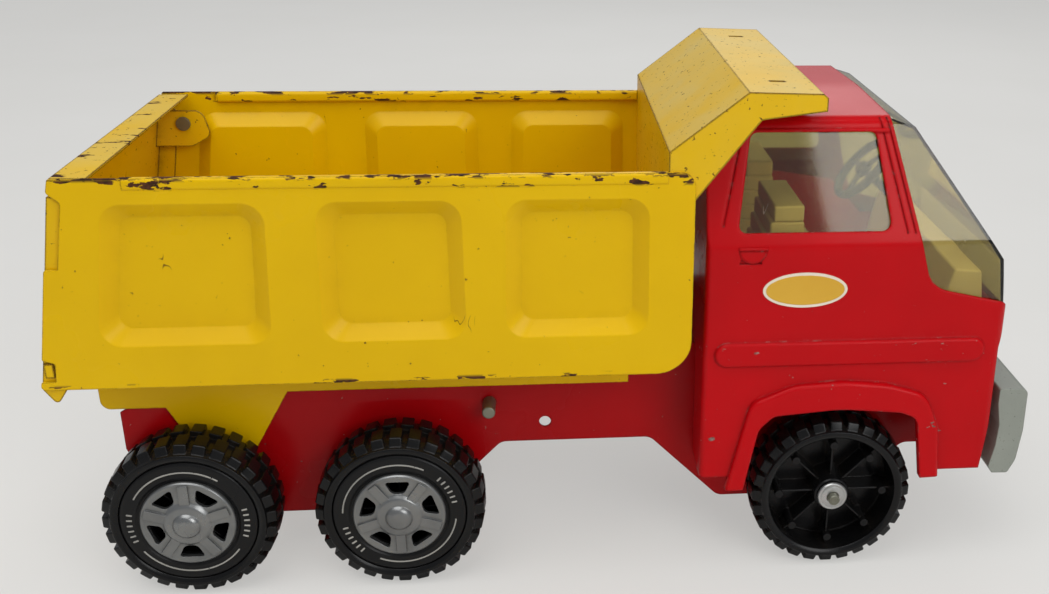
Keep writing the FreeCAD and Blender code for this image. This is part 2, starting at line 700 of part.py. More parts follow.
def arch_flare():
    """The flare's outer edge round the arch; its rear leg hangs a little lower than its front leg."""
    return from_front_axle([
        (-47.0, 5.2), (-37.6, 45.6, 8.0), (-20.0, 53.2, 20.0), (2.0, 54.6, 60.0), (20.0, 52.6, 30.0),
        (36.6, 47.6, 12.0),
        (43.4, 31.0, 12.0), (45.4, 8.6)])


def side_window(grow=0.0):
    """The side window's opening, a rounded trapezoid."""
    return from_front_axle([
        (-45.4 - grow, 118.4 - grow, 3.0), (-40.2 - grow, 156.2 + grow, 3.5),
        (9.6 + grow, 156.2 + grow, 3.5),
        (16.6 + grow, 118.4 - grow, 3.5)])


def groove(points):
    """A thin pressed line on the cab's leaning side, between two points."""
    (x0, z0), (x1, z1) = from_front_axle(points)
    length = math.hypot(x1 - x0, z1 - z0)
    nx, nz = -(z1 - z0) / length * 0.35, (x1 - x0) / length * 0.35
    return side_plate([(x0 + nx, z0 + nz), (x0 - nx, z0 - nz), (x1 - nx, z1 - nz), (x1 + nx, z1 + nz)],
                      -cab_half_width - 5.0, cab_half_width + 5.0)


def cab_shell():
    """Pressed cab: sides, back, roof, front wall and nose, with flares, beads and window openings."""
    back_x = front_axle_x - cab_back_reach
    front_x = front_axle_x + cab_front_reach
    reach = cab_half_width + 12.0
    body = side_plate(cab_profile(), -reach, reach).common(cab_prism(0.0, back_x, front_x + 10.0))
    body = body.common(cab_plan(0.0))
    inner_front = cab_front_reach - sheet
    void_profile = from_front_axle([
        (-cab_back_reach + sheet, 0.0), (-cab_back_reach + sheet, cab_roof_rise - roof_edge * 1.4 - 0.4),
        (-cab_back_reach + sheet + roof_edge, cab_roof_rise + roof_crown - 0.4),
        (-cab_back_reach + sheet + roof_edge, cab_roof_rise + 20.0),
        (cab_front_reach + 20.0, cab_roof_rise + 20.0), (cab_front_reach + 20.0, 84.0), (inner_front, 84.0),
        (inner_front, 31.0), (inner_front - 3.4, 0.0)])
    void = side_plate(void_profile, -reach, reach).common(cab_prism(sheet, back_x, front_x + 30.0))
    shell = body.cut(void.common(cab_plan(sheet)))
    skirt = axle_z + cab_skirt_rise
    flare_block = side_plate(arch_flare(), -cab_half_width - flare_height, -cab_half_width + sheet)
    outer_face = -cab_half_width - flare_height
    flare_block = flare_block.makeFillet(1.6, edges_where(
        flare_block, lambda p: near(p.y, outer_face) and p.z > axle_z + 10.0))
    bead = side_plate(from_front_axle([(-53.2, 61.9, 5.2), (59.4, 61.9, 5.2), (59.4, 72.5, 5.2),
                                       (-53.2, 72.5, 5.2)]),
                      -cab_half_width - bead_height, -cab_half_width + sheet * 0.5)
    bead = bead.makeFillet(1.3, edges_where(bead, lambda p: near(p.y, -cab_half_width - bead_height)))
    additions = both_sides(flare_block) + both_sides(bead) + [roof_gutter()]
    shell = shell.multiFuse(additions)
    skin_depth = 0.45
    skin = cab_prism(0.0, back_x, front_x).cut(cab_prism(skin_depth, back_x, front_x))
    lines = [groove(g).common(skin) for g in (
        [(-44.8, 151.0), (-51.3, 121.0)], [(11.2, 161.0), (22.8, 117.5)], [(14.0, 161.0), (26.0, 117.5)])]
    handle = side_plate(from_front_axle([(-44.7, 106.2), (-43.5, 109.6, 2.0), (-40.2, 111.9, 3.0),
                                         (-37.0, 109.6, 2.0),
                                         (-35.6, 106.2)]), -cab_half_width - 1.0, -cab_half_width + 0.6)
    arches = both_sides(side_plate(arch_opening(), -reach, -frame_half_width - 6.0))
    windows = side_plate(side_window(), -reach, reach)
    frame_way = box(back_x - 1.0, back_x + sheet + 1.0, -frame_half_width - channel_gap,
                    frame_half_width + channel_gap, skirt - 10.0, deck_z)
    front_holes = [box(front_x - 5.0, front_x + 5.0, -grille_half_width, grille_half_width, grille_low,
                       grille_high)]
    for y in (-lamp_y, lamp_y):
        front_holes.append(Part.makeCylinder(lamp_radius, 20.0, vec(front_x - 10.0, y, lamp_z),
                                             vec(1, 0, 0)))
    for y in (-bumper_screw_y, bumper_screw_y):
        front_holes.append(Part.makeCylinder(screw_radius, 20.0, vec(front_x - 10.0, y, bumper_screw_z),
                                             vec(1, 0, 0)))
    cuts = lines + both_sides(handle) + arches + [windows, frame_way] + front_holes
    return shell.cut(Part.makeCompound(cuts))


def roof_gutter():
    """The small bead along each side of the roof, just below its edge."""
    x0 = front_axle_x - cab_back_reach + 4.0
    x1 = front_axle_x + 15.0
    drop = 5.0
    lean = (cab_half_width - cab_roof_half_width) / (cab_roof_rise - cab_belt_rise)
    z = axle_z + cab_roof_rise - drop
    y = cab_roof_half_width + drop * lean
    bars = [Part.makeCylinder(sheet * 0.9, x1 - x0, vec(x0, s * y, z), vec(1, 0, 0)) for s in (-1, 1)]
    return Part.makeCompound(bars)


def grille():
    """Plain plastic grille with upright slats, set in the opening in the cab's front wall."""
    front_x = front_axle_x + cab_front_reach
    frame = box(front_x - sheet - 2.0, front_x - sheet, -grille_half_width - 3.0, grille_half_width + 3.0,
                grille_low - 3.0, grille_high + 3.0)
    insert = box(front_x - sheet, front_x + 0.8, -grille_half_width + 0.3, grille_half_width - 0.3,
                 grille_low + 0.3, grille_high - 0.3)
    slots = []
    for i in range(-6, 7):
        slots.append(box(front_x - 0.9, front_x + 2.0, i * 5.2 - 1.6, i * 5.2 + 1.6, grille_low + 2.6,
                         grille_high - 2.6))
    return frame.fuse(insert).cut(Part.makeCompound(slots)).removeSplitter()


def headlamps():
    """Two plain round lamps snapped into the front wall."""
    front_x = front_axle_x + cab_front_reach
    lens = Part.makeCylinder(lamp_radius - 0.2, 3.2, vec(front_x - 2.0, 0, 0), vec(1, 0, 0))
    rim = Part.makeCylinder(lamp_radius + 1.4, 1.0, vec(front_x, 0, 0), vec(1, 0, 0))
    lamp = lens.fuse(rim)
    dome = edges_where(lamp, lambda p: near(p.x, front_x + 1.2))
    lamp = lamp.makeFillet(0.15, dome)
    return Part.makeCompound([lamp.translated(vec(0, y, lamp_z)) for y in (-lamp_y, lamp_y)])


def window_unit():
    """Clear moulding inside the cab: windscreen, quarter lights, roof strip and side glass in one piece."""
    x0 = front_axle_x - 49.0
    x1 = front_axle_x + cab_front_reach + 20.0
    reach = cab_half_width + 5.0
    fit = sheet + glass_gap
    above = cab_roof_rise + roof_edge * 4.5
    crown = [(12.0, cab_roof_rise + 0.3), (26.0, cab_roof_rise - 4.2), (63.5, 106.0), (66.3, 84.2)]
    profile = from_front_axle([(-49.0, 113.5), (-49.0, above), (12.0, above)] + crown + [(40.0, 84.2),
                                                                                         (24.0, 102.0)])
    inner_crown = offset_path(crown, -glass)
    void_profile = from_front_axle([(-60.0, 60.0), (-60.0, above), (12.0 - glass, above)] + inner_crown +
                                   [(inner_crown[-1][0], 60.0)])
    outer = side_plate(profile, -reach, reach).common(cab_prism(fit, x0, x1)).common(cab_plan(fit))
    void = side_plate(void_profile, -reach, reach).common(cab_prism(fit + glass, x0 - 5.0, x1))
    return outer.cut(void.common(cab_plan(fit + glass)))


def steering_axis():
    """The steering column's direction, up and back towards the seat."""
    axis = vec(-0.75, 0, 0.66)
    axis.normalize()
    return axis


def steering_end():
    """The column's upper end, where the steering wheel is pressed on."""
    return vec(front_axle_x + 28.5, 26.0, axle_z + 118.4)


def cab_interior():
    """Cream moulding that stands on the frame: floor, two ribbed seats, console and dashboard."""
    floor_top = deck_z + 2.0
    half = cab_half_width - sheet - 2.0
    floor = box(front_axle_x - 54.0, front_axle_x + 60.0, -half, half, deck_z, floor_top)
    pieces = [floor]
    for y in (-34.0, 34.0):
        cushion = box(front_axle_x - 26.0, front_axle_x + 8.0, y - 19.0, y + 19.0, floor_top,
                      floor_top + 20.0)
        pieces.append(cushion)
        back = side_plate(from_front_axle([
            (-40.0, deck_rise + 2.0), (-26.0, deck_rise + 2.0), (-14.0, deck_rise + 22.0),
            (-17.0, 125.0, 2.0),
            (-27.0, 125.0, 2.0)]), y - 19.0, y + 19.0)
        pieces.append(back)
    pieces.append(box(front_axle_x - 20.0, front_axle_x + 46.0, -7.0, 7.0, floor_top, floor_top + 14.0))
    dash = side_plate(from_front_axle([
        (40.0, deck_rise + 2.0), (60.0, deck_rise + 2.0), (60.0, 86.0), (58.5, 98.0, 2.0),
        (47.0, 99.0, 2.0),
        (44.0, 88.0, 2.0)]), -58.0, 58.0)
    pieces.append(dash)
    foot = steering_end() - steering_axis() * steering_column
    column = Part.makeCylinder(2.0, steering_column, foot, steering_axis())
    pieces.append(column)
    tub = fused(pieces)
    ribs = []
    for y in (-34.0, 34.0):
        for i in range(5):
            rib_z = floor_top + 27.0 + i * 7.0
            ribs.append(box(front_axle_x - 18.5, front_axle_x - 10.0, y - 20.0, y + 20.0, rib_z - 0.6,
                            rib_z + 0.6))
    return tub.cut(Part.makeCompound(ribs))


def steering_wheel():
    """Thin three-spoked wheel pressed on the column's end."""
    axis = steering_axis()
    ring = Part.makeTorus(steering_ring, steering_wire, vec(0, 0, 0), vec(0, 0, 1))
    hub = Part.makeCylinder(4.0, 3.0, vec(0, 0, -0.2), vec(0, 0, 1))
    spokes = []
    for angle in (90.0, 210.0, 330.0):
        spoke = box(2.0, steering_ring, -1.3, 1.3, -0.2, 1.4)
        spokes.append(spoke.rotated(vec(0, 0, 0), vec(0, 0, 1), angle))
    wheel = ring.multiFuse([hub] + spokes)
    turn = FreeCAD.Rotation(vec(0, 0, 1), axis)
    wheel.Placement = FreeCAD.Placement(steering_end() + axis * 0.2, turn)
    return wheel


# ---- bumper --------------------------------------------------------------------------------------
def bumper():
    """Deep moulded bumper bar with rounded front edges and two bosses that meet the cab's front wall."""
    back = front_axle_x + bumper_back_reach
    front = bumper_front_x
    low = axle_z + 6.6
    high = axle_z + 47.0
    bar = side_plate([
        (back + 1.2, low, 1.0), (front - 4.6, low - 0.2, 1.5), (front - 1.6, low + 6.0, 8.0),
        (front, axle_z + 27.0, 30.0),
        (front - 0.3, high, 3.0), (back + 0.2, high, 1.0), (back + 0.2, axle_z + 40.0, 2.0),
        (back + 1.9, axle_z + 30.0, 4.0),
        (back + 1.4, axle_z + 20.0, 4.0),
        (back - 0.6, low + 3.2, 1.0)], -bumper_half_width, bumper_half_width)
    bosses = []
    for y in (-bumper_screw_y, bumper_screw_y):
        bosses.append(Part.makeCylinder(4.5, back + 3.0 - front_axle_x - cab_front_reach,
                                        vec(front_axle_x + cab_front_reach, y, bumper_screw_z),
                                        vec(1, 0, 0)))
    bar = bar.multiFuse(bosses)
    cuts = []
    for y in (-bumper_screw_y, bumper_screw_y):
        cuts.append(Part.makeCylinder(screw_radius, 40.0, vec(back - 10.0, y, bumper_screw_z),
                                      vec(1, 0, 0)))
        cuts.append(Part.makeCylinder(3.2, 4.0, vec(front - 2.2, y, bumper_screw_z), vec(1, 0, 0)))
    return bar.cut(Part.makeCompound(cuts))


def bumper_screws():
    """Two screws that clamp the bumper and the cab's front wall to the frame's front flange."""
    inner = front_axle_x + cab_front_reach - sheet * 2 - 2.0
    head = bumper_front_x - 2.2
    screws = []
    for y in (-bumper_screw_y, bumper_screw_y):
        shank = Part.makeCylinder(screw_radius, head - inner, vec(inner, y, bumper_screw_z), vec(1, 0, 0))
        cap = Part.makeCylinder(2.9, 1.4, vec(head, y, bumper_screw_z), vec(1, 0, 0))
        screws.append(shank.fuse(cap).removeSplitter())
    return Part.makeCompound(screws)


# ---- assembly ------------------------------------------------------------------------------------
def all_parts():
    parts = {
        "chassis_frame": chassis_frame(), "cross_rod": cross_rod(), "bed_hinge_pin": bed_hinge_pin(),
        "cab_shell": cab_shell(), "window_unit": window_unit(), "cab_interior": cab_interior(),
        "steering_wheel": steering_wheel(), "grille": grille(), "headlamps": headlamps(),
        "bumper": bumper(), "bumper_screws": bumper_screws(),
        "bed_tub": bed_tub(), "bed_headboard": headboard(), "bed_channel": bed_channel(),
        "tailgate": tailgate(), "tailgate_pins": tailgate_pins()}
    stations = (("rear", rear_axle_x, wheel_face, 36.0), ("middle", middle_axle_x, wheel_face, 0.0),
                ("front", front_axle_x, front_wheel_face, 0.0))
    retainers = []
    tyres = {face: tyre(face) for face in (wheel_face, front_wheel_face)}
    for name, x, face, turn in stations:
        parts[name + "_axle"] = axle_rod(x)
        for side, left in (("right", False), ("left", True)):
            parts["tyre_%s_%s" % (name, side)] = placed_wheel_part(tyres[face], x, face, left)
            retainers.append(placed_wheel_part(wheel_retainer(), x, face, left))
            if (name, side) == ("front", "right"):
                continue
            parts["wheel_disc_%s_%s" % (name, side)] = placed_wheel_part(sidewall_disc(), x, face, left)
            parts["hub_cap_%s_%s" % (name, side)] = placed_wheel_part(hub_cap(), x, face, left, turn)
    parts["hub_spacers"] = hub_spacers()
    parts["wheel_retainers"] = Part.makeCompound(retainers)
    return parts


def main():
    os.makedirs("parts", exist_ok=True)
    for name, shape in all_parts().items():
        shape.exportStep("parts/%s.step" % name)
        print(name, len(shape.Solids), round(shape.Volume, 1))


main()
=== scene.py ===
import bpy
import bmesh
import math
from mathutils import Matrix, Vector


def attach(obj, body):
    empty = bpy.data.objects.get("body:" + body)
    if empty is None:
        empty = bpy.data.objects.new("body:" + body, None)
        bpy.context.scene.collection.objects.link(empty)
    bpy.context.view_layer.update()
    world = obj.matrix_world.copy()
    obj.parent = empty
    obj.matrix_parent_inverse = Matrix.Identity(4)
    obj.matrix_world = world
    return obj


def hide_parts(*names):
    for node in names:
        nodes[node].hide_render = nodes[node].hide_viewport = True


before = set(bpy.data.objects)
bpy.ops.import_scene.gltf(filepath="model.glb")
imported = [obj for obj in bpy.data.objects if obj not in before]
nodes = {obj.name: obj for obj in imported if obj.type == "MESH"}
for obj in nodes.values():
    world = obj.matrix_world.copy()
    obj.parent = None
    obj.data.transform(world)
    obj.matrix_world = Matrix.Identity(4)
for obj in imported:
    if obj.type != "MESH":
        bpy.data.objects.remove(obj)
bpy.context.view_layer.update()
print("frame loaded:", len(nodes), "nodes")

mm = 0.001
stations = {     # each axle: its place, the outer face of its wheels, the turn of its hub caps
    "rear": {"x": -151.8, "face": 71.0, "capTurn": 36.0},
    "middle": {"x": -67.5, "face": 71.0, "capTurn": 0.0},
    "front": {"x": 115.0, "face": 69.5, "capTurn": 0.0},
}
axleHeight = 35.0


# node helpers: a socket is linked, anything else is typed into the field
def fillSockets(tree, node, fields):
    for name, value in fields.items():
        if isinstance(value, bpy.types.NodeSocket):
            tree.links.new(value, node.inputs[name])
        else:
            node.inputs[name].default_value = value


def put(tree, kind, fields=None, **settings):
    node = tree.nodes.new("ShaderNode" + kind)
    for name, value in settings.items():
        setattr(node, name, value)
    fillSockets(tree, node, fields or {})
    return node


def maths(tree, operation, first, second=0.0, clamp=False):
    return put(tree, "Math", {0: first, 1: second}, operation=operation, use_clamp=clamp).outputs[0]


def times(tree, first, second, clamp=False):
    return maths(tree, "MULTIPLY", first, second, clamp)


def plus(tree, first, second, clamp=False):
    return maths(tree, "ADD", first, second, clamp)


def minus(tree, first, second):
    return maths(tree, "SUBTRACT", first, second)


def remap(tree, value, low, high, toLow=0.0, toHigh=1.0):
    return put(tree, "MapRange", {"Value": value, "From Min": low, "From Max": high,
                                  "To Min": toLow, "To Max": toHigh}).outputs["Result"]


def mixed(tree, factor, first, second):
    node = put(tree, "Mix", {0: factor, 6: first, 7: second}, data_type="RGBA")
    return node.outputs[2]


def objectPoint(tree):
    return put(tree, "TexCoord").outputs["Object"]


def noisePattern(tree, scale, seed, detail=3.0, rough=0.55, vector=None):
    fields = {"Vector": vector or objectPoint(tree), "Scale": scale, "W": seed, "Detail": detail,
              "Roughness": rough}
    return put(tree, "TexNoise", fields, noise_dimensions="4D").outputs[0]


def screen(red, green, blue):     # a colour as a colour picker shows it, 0 to 255
    def linear(value):
        value /= 255
        return value / 12.92 if value <= 0.04045 else ((value + 0.055) / 1.055) ** 2.4
    return (linear(red), linear(green), linear(blue), 1.0)


def newGroup(name, inputs, outputs=None):     # without outputs named, it gives one mask
    tree = bpy.data.node_groups.new(name, "ShaderNodeTree")
    for label, value in inputs.items():
        socket = tree.interface.new_socket(label, in_out="INPUT", socket_type="NodeSocketFloat")
        socket.default_value = value
    for label, kind in (outputs or {"Mask": "NodeSocketFloat"}).items():
        tree.interface.new_socket(label, in_out="OUTPUT", socket_type=kind)
    start = tree.nodes.new("NodeGroupInput")
    end = tree.nodes.new("NodeGroupOutput")
    return tree, start.outputs, end.inputs


def useGroup(tree, group, **fields):
    node = tree.nodes.new("ShaderNodeGroup")
    node.node_tree = group
    fillSockets(tree, node, fields)
    return node.outputs


def maskOf(tree, group, **fields):
    return useGroup(tree, group, **fields)["Mask"]


# shared effects
def makeEdgeWear():     # worn patches along edges, and the softened normal of a rounded edge
    tree, given, result = newGroup("edgeWear", {"Rounding": 0.0008, "Spread": 0.3, "PatchScale": 160.0,
                                                "Fold": 0.02, "Seed": 0.0},
                                   {"Mask": "NodeSocketFloat", "Normal": "NodeSocketVector"})
    wide = put(tree, "Bevel", {"Radius": given["Rounding"]}, samples=5).outputs["Normal"]
    flat = put(tree, "NewGeometry").outputs["Normal"]
    facing = put(tree, "VectorMath", {0: wide, 1: flat}, operation="DOT_PRODUCT").outputs["Value"]
    turned = remap(tree, minus(tree, 1.0, facing), given["Fold"],
                   times(tree, given["Fold"], 9.0))
    pattern = noisePattern(tree, given["PatchScale"], given["Seed"], 5.0, 0.65)
    worn = plus(tree, times(tree, turned, given["Spread"]), pattern)
    worn = remap(tree, worn, 0.80, 0.84)
    tree.links.new(times(tree, worn, turned, True), result["Mask"])
    tree.links.new(wide, result["Normal"])
    return tree


def makeScratches():     # thin lines, long and nearly straight, in two directions
    tree, given, result = newGroup("scratches", {"Scale": 200.0, "Width": 0.006, "Share": 0.4, "Seed": 0.0})
    lines = None
    for turn, lean in ((0.5, 0.2), (-1.1, 0.9)):
        stretched = put(tree, "Mapping", {"Vector": objectPoint(tree), "Rotation": (lean * 0.4, turn, lean),
                                          "Scale": (14.0, 1.0, 1.0)}, vector_type="TEXTURE").outputs[0]
        pattern = noisePattern(tree, given["Scale"], plus(tree, given["Seed"], turn), 1.0, 0.4,
                               stretched)
        away = maths(tree, "ABSOLUTE", minus(tree, pattern, 0.5))
        line = maths(tree, "LESS_THAN", away, given["Width"])
        where = noisePattern(tree, 45.0, plus(tree, given["Seed"], 7.3 + turn), 2.0, 0.5)
        kept = remap(tree, where, minus(tree, 0.86, times(tree, given["Share"], 0.5)),
                     minus(tree, 0.90, times(tree, given["Share"], 0.5)))
        line = times(tree, line, kept)
        lines = line if lines is None else maths(tree, "MAXIMUM", lines, line)
    tree.links.new(lines, result["Mask"])
    return tree


def makeChips():     # small bare spots
    tree, given, result = newGroup("chips", {"Scale": 300.0, "Share": 0.2, "Shorter": 1.0, "Seed": 0.0})
    along = put(tree, "CombineXYZ", {0: given["Shorter"], 1: 1.0, 2: 1.0}).outputs[0]
    stretched = put(tree, "VectorMath", {0: objectPoint(tree), 1: along}, operation="MULTIPLY").outputs[0]
    pattern = noisePattern(tree, given["Scale"], given["Seed"], 4.0, 0.6, stretched)
    level = minus(tree, 0.80, times(tree, given["Share"], 0.4))
    spots = remap(tree, pattern, level, plus(tree, level, 0.015))
    tree.links.new(spots, result["Mask"])
    return tree


def makeCreviceGrimeAndShade():     # grime in corners and folds, and painted shade there: an ambient-occlusion mask darkens them
    tree, given, result = newGroup("creviceGrimeAndShade", {"Reach": 0.006, "Amount": 0.6, "Seed": 0.0})
    openness = put(tree, "AmbientOcclusion", {"Distance": given["Reach"]}, samples=4,
                   only_local=True).outputs["AO"]
    grimeAndShade = remap(tree, openness, 0.35, 0.95, 1.0, 0.0)
    pattern = remap(tree, noisePattern(tree, 120.0, given["Seed"], 5.0, 0.7), 0.3, 0.7)
    grimeAndShade = times(tree, times(tree, grimeAndShade, pattern), given["Amount"], True)
    tree.links.new(grimeAndShade, result["Mask"])
    return tree


def makeDustAndSheenFilm():     # pale dust and painted sheen on what faces up, in soft patches
    tree, given, result = newGroup("dustAndSheenFilm", {"Amount": 0.3, "Scale": 35.0, "Seed": 0.0})
    normal = put(tree, "NewGeometry").outputs["Normal"]
    up = remap(tree, put(tree, "SeparateXYZ", {0: normal}).outputs["Z"], 0.1, 0.9, 0.15, 1.0)
    pattern = remap(tree, noisePattern(tree, given["Scale"], given["Seed"], 6.0, 0.6), 0.35, 0.7)
    dustAndSheen = times(tree, times(tree, up, pattern), given["Amount"], True)
    tree.links.new(dustAndSheen, result["Mask"])
    return tree


def makeUnevenness():     # slow variation of a finish, and the height of its fine grain
    tree, given, result = newGroup("unevenness", {"Scale": 18.0, "GrainScale": 900.0, "Seed": 0.0},
                                   {"Value": "NodeSocketFloat", "Height": "NodeSocketFloat"})
    slow = remap(tree, noisePattern(tree, given["Scale"], given["Seed"], 4.0, 0.5), 0.3, 0.7)
    grain = noisePattern(tree, given["GrainScale"], given["Seed"], 2.0, 0.5)
    wave = noisePattern(tree, 70.0, plus(tree, given["Seed"], 3.0), 1.0, 0.5)
    height = plus(tree, times(tree, grain, 0.12), wave)
    tree.links.new(slow, result["Value"])
    tree.links.new(height, result["Height"])
    return tree


def makeHeightBand():     # 1 between two levels above the ground, fading over the last stretch
    tree, given, result = newGroup("heightBand", {"Low": 0.0, "High": 1.0, "Fade": 0.002})
    level = put(tree, "SeparateXYZ", {0: objectPoint(tree)}).outputs["Z"]
    above = remap(tree, level, minus(tree, given["Low"], given["Fade"]), given["Low"])
    below = remap(tree, level, given["High"], plus(tree, given["High"], given["Fade"]), 1.0, 0.0)
    tree.links.new(times(tree, above, below), result["Mask"])
    return tree


edgeWear = makeEdgeWear()
scratches = makeScratches()
chips = makeChips()
creviceGrimeAndShade = makeCreviceGrimeAndShade()
dustAndSheenFilm = makeDustAndSheenFilm()
unevenness = makeUnevenness()
heightBand = makeHeightBand()


def newMaterial(name):
    material = bpy.data.materials.new(name)
    material.use_nodes = True
    tree = material.node_tree
    tree.nodes.clear()
    shader = put(tree, "BsdfPrincipled")
    out = put(tree, "OutputMaterial", {"Surface": shader.outputs[0]})
    return material, tree, shader, out


def finishNormal(tree, shader, rounded, height, strength, distance):
    bump = put(tree, "Bump", {"Strength": strength, "Distance": distance, "Height": height,
                              "Normal": rounded})
    tree.links.new(bump.outputs[0], shader.inputs["Normal"])


# enamel paint: variation, dust and painted sheen on top faces, grime and painted shade in corners,
# scratches and bare chips
def enamel(name, look):
    material, tree, shader, _ = newMaterial(name)
    seed = look["seed"]
    uneven = useGroup(tree, unevenness, Scale=look.get("patchScale", 18.0), GrainScale=1400.0, Seed=seed)
    colour = mixed(tree, uneven["Value"], look["colour"], look["shade"])
    dustAndSheen = maskOf(tree, dustAndSheenFilm, Amount=look["dustAndSheen"], Scale=30.0, Seed=seed + 2.0)
    colour = mixed(tree, dustAndSheen, colour, look["dustAndSheenColour"])
    grimeAndShade = maskOf(tree, creviceGrimeAndShade, Reach=0.007, Amount=look["grimeAndShade"], Seed=seed + 4.0)
    colour = mixed(tree, grimeAndShade, colour, look["grimeAndShadeColour"])
    lines = maskOf(tree, scratches, Scale=look.get("lineScale", 180.0), Width=0.007,
                     Share=look["lines"], Seed=seed + 5.0)
    colour = mixed(tree, times(tree, lines, look["lineStrength"]), colour, look["lineColour"])
    worn = useGroup(tree, edgeWear, Rounding=look["rounding"], Spread=look["wear"],
                    PatchScale=look.get("wearScale", 150.0), Fold=look.get("fold", 0.03), Seed=seed + 6.0)
    spots = maskOf(tree, chips, Scale=look.get("chipScale", 330.0), Share=look["chips"],
                     Seed=seed + 8.0)
    bare = maths(tree, "MAXIMUM", worn["Mask"], spots)
    for low, high, share, scale in look.get("bands", ()):
        band = maskOf(tree, heightBand, Low=low * mm, High=high * mm, Fade=0.0012)
        patches = maskOf(tree, chips, Scale=scale, Share=share, Shorter=0.4, Seed=seed + low)
        bare = maths(tree, "MAXIMUM", bare, times(tree, band, patches))
    mottled = noisePattern(tree, 420.0, seed + 9.0, 3.0, 0.6)
    bareColour = mixed(tree, remap(tree, mottled, 0.4, 0.62), look["bareColour"], look["rustColour"])
    colour = mixed(tree, bare, colour, bareColour)
    rough = remap(tree, uneven["Value"], 0.0, 1.0, look["roughness"] - 0.05, look["roughness"] + 0.06)
    rough = plus(tree, rough, times(tree, dustAndSheen, 0.22))
    rough = plus(tree, rough, times(tree, grimeAndShade, 0.3))
    rough = plus(tree, rough, times(tree, bare, 0.35), True)
    fillSockets(tree, shader, {"Base Color": colour, "Roughness": rough})
    shader.inputs["Specular IOR Level"].default_value = look.get("shine", 0.5)
    height = minus(tree, uneven["Height"], times(tree, bare, 0.7))
    height = minus(tree, height, times(tree, lines, 0.25))
    finishNormal(tree, shader, worn["Normal"], height, look.get("bump", 0.35), 0.0003)
    return material


# moulded plastic and rubber: fine grain, dust and painted sheen on top faces, grime and painted shade in
# corners, paler edges
def moulded(name, look):
    material, tree, shader, _ = newMaterial(name)
    seed = look["seed"]
    uneven = useGroup(tree, unevenness, Scale=look.get("patchScale", 25.0),
                      GrainScale=look.get("grainScale", 1600.0), Seed=seed)
    colour = mixed(tree, uneven["Value"], look["colour"], look["shade"])
    worn = useGroup(tree, edgeWear, Rounding=look["rounding"], Spread=look["wear"],
                    PatchScale=look.get("wearScale", 120.0), Seed=seed + 1.0)
    colour = mixed(tree, times(tree, worn["Mask"], 0.7), colour, look["edgeColour"])
    specks = maskOf(tree, chips, Scale=look.get("speckScale", 500.0), Share=look["specks"],
                      Seed=seed + 3.0)
    colour = mixed(tree, specks, colour, look["speckColour"])
    grimeAndShade = maskOf(tree, creviceGrimeAndShade, Reach=0.004, Amount=look["grimeAndShade"], Seed=seed + 5.0)
    colour = mixed(tree, grimeAndShade, colour, look["grimeAndShadeColour"])
    dustAndSheen = maskOf(tree, dustAndSheenFilm, Amount=look["dustAndSheen"], Scale=60.0, Seed=seed + 7.0)
    colour = mixed(tree, dustAndSheen, colour, look["dustAndSheenColour"])
    rough = remap(tree, uneven["Value"], 0.0, 1.0, look["roughness"] - 0.06, look["roughness"] + 0.06)
    rough = plus(tree, rough, times(tree, dustAndSheen, 0.25), True)
    fillSockets(tree, shader, {"Base Color": colour, "Roughness": rough})
    shader.inputs["Metallic"].default_value = look.get("metallic", 0.0)
    shader.inputs["Specular IOR Level"].default_value = look.get("shine", 0.5)
    finishNormal(tree, shader, worn["Normal"], uneven["Height"], look.get("bump", 0.3), 0.0003)
    return material


# bare and plated metal: brushed variation, tarnish and painted shade in the corners
def bareMetal(name, look):
    material, tree, shader, _ = newMaterial(name)
    seed = look["seed"]
    uneven = useGroup(tree, unevenness, Scale=look.get("patchScale", 60.0), GrainScale=2200.0, Seed=seed)
    colour = mixed(tree, uneven["Value"], look["colour"], look["shade"])
    lines = maskOf(tree, scratches, Scale=600.0, Width=0.012, Share=look["lines"],
                     Seed=seed + 1.0)
    colour = mixed(tree, times(tree, lines, 0.5), colour, look["lineColour"])
    spots = maskOf(tree, chips, Scale=700.0, Share=look["spots"], Seed=seed + 2.0)
    colour = mixed(tree, spots, colour, look["spotColour"])
    grimeAndShade = maskOf(tree, creviceGrimeAndShade, Reach=0.003, Amount=look["grimeAndShade"], Seed=seed + 3.0)
    colour = mixed(tree, grimeAndShade, colour, look["grimeAndShadeColour"])
    rough = remap(tree, uneven["Value"], 0.0, 1.0, look["roughness"] - 0.06, look["roughness"] + 0.08)
    rough = plus(tree, rough, times(tree, grimeAndShade, 0.3), True)
    fillSockets(tree, shader, {"Base Color": colour, "Roughness": rough})
    shader.inputs["Metallic"].default_value = look["metallic"]
    worn = useGroup(tree, edgeWear, Rounding=look["rounding"], Spread=0.0, Seed=seed)
    finishNormal(tree, shader, worn["Normal"], uneven["Height"], look.get("bump", 0.25), 0.0002)
    return material


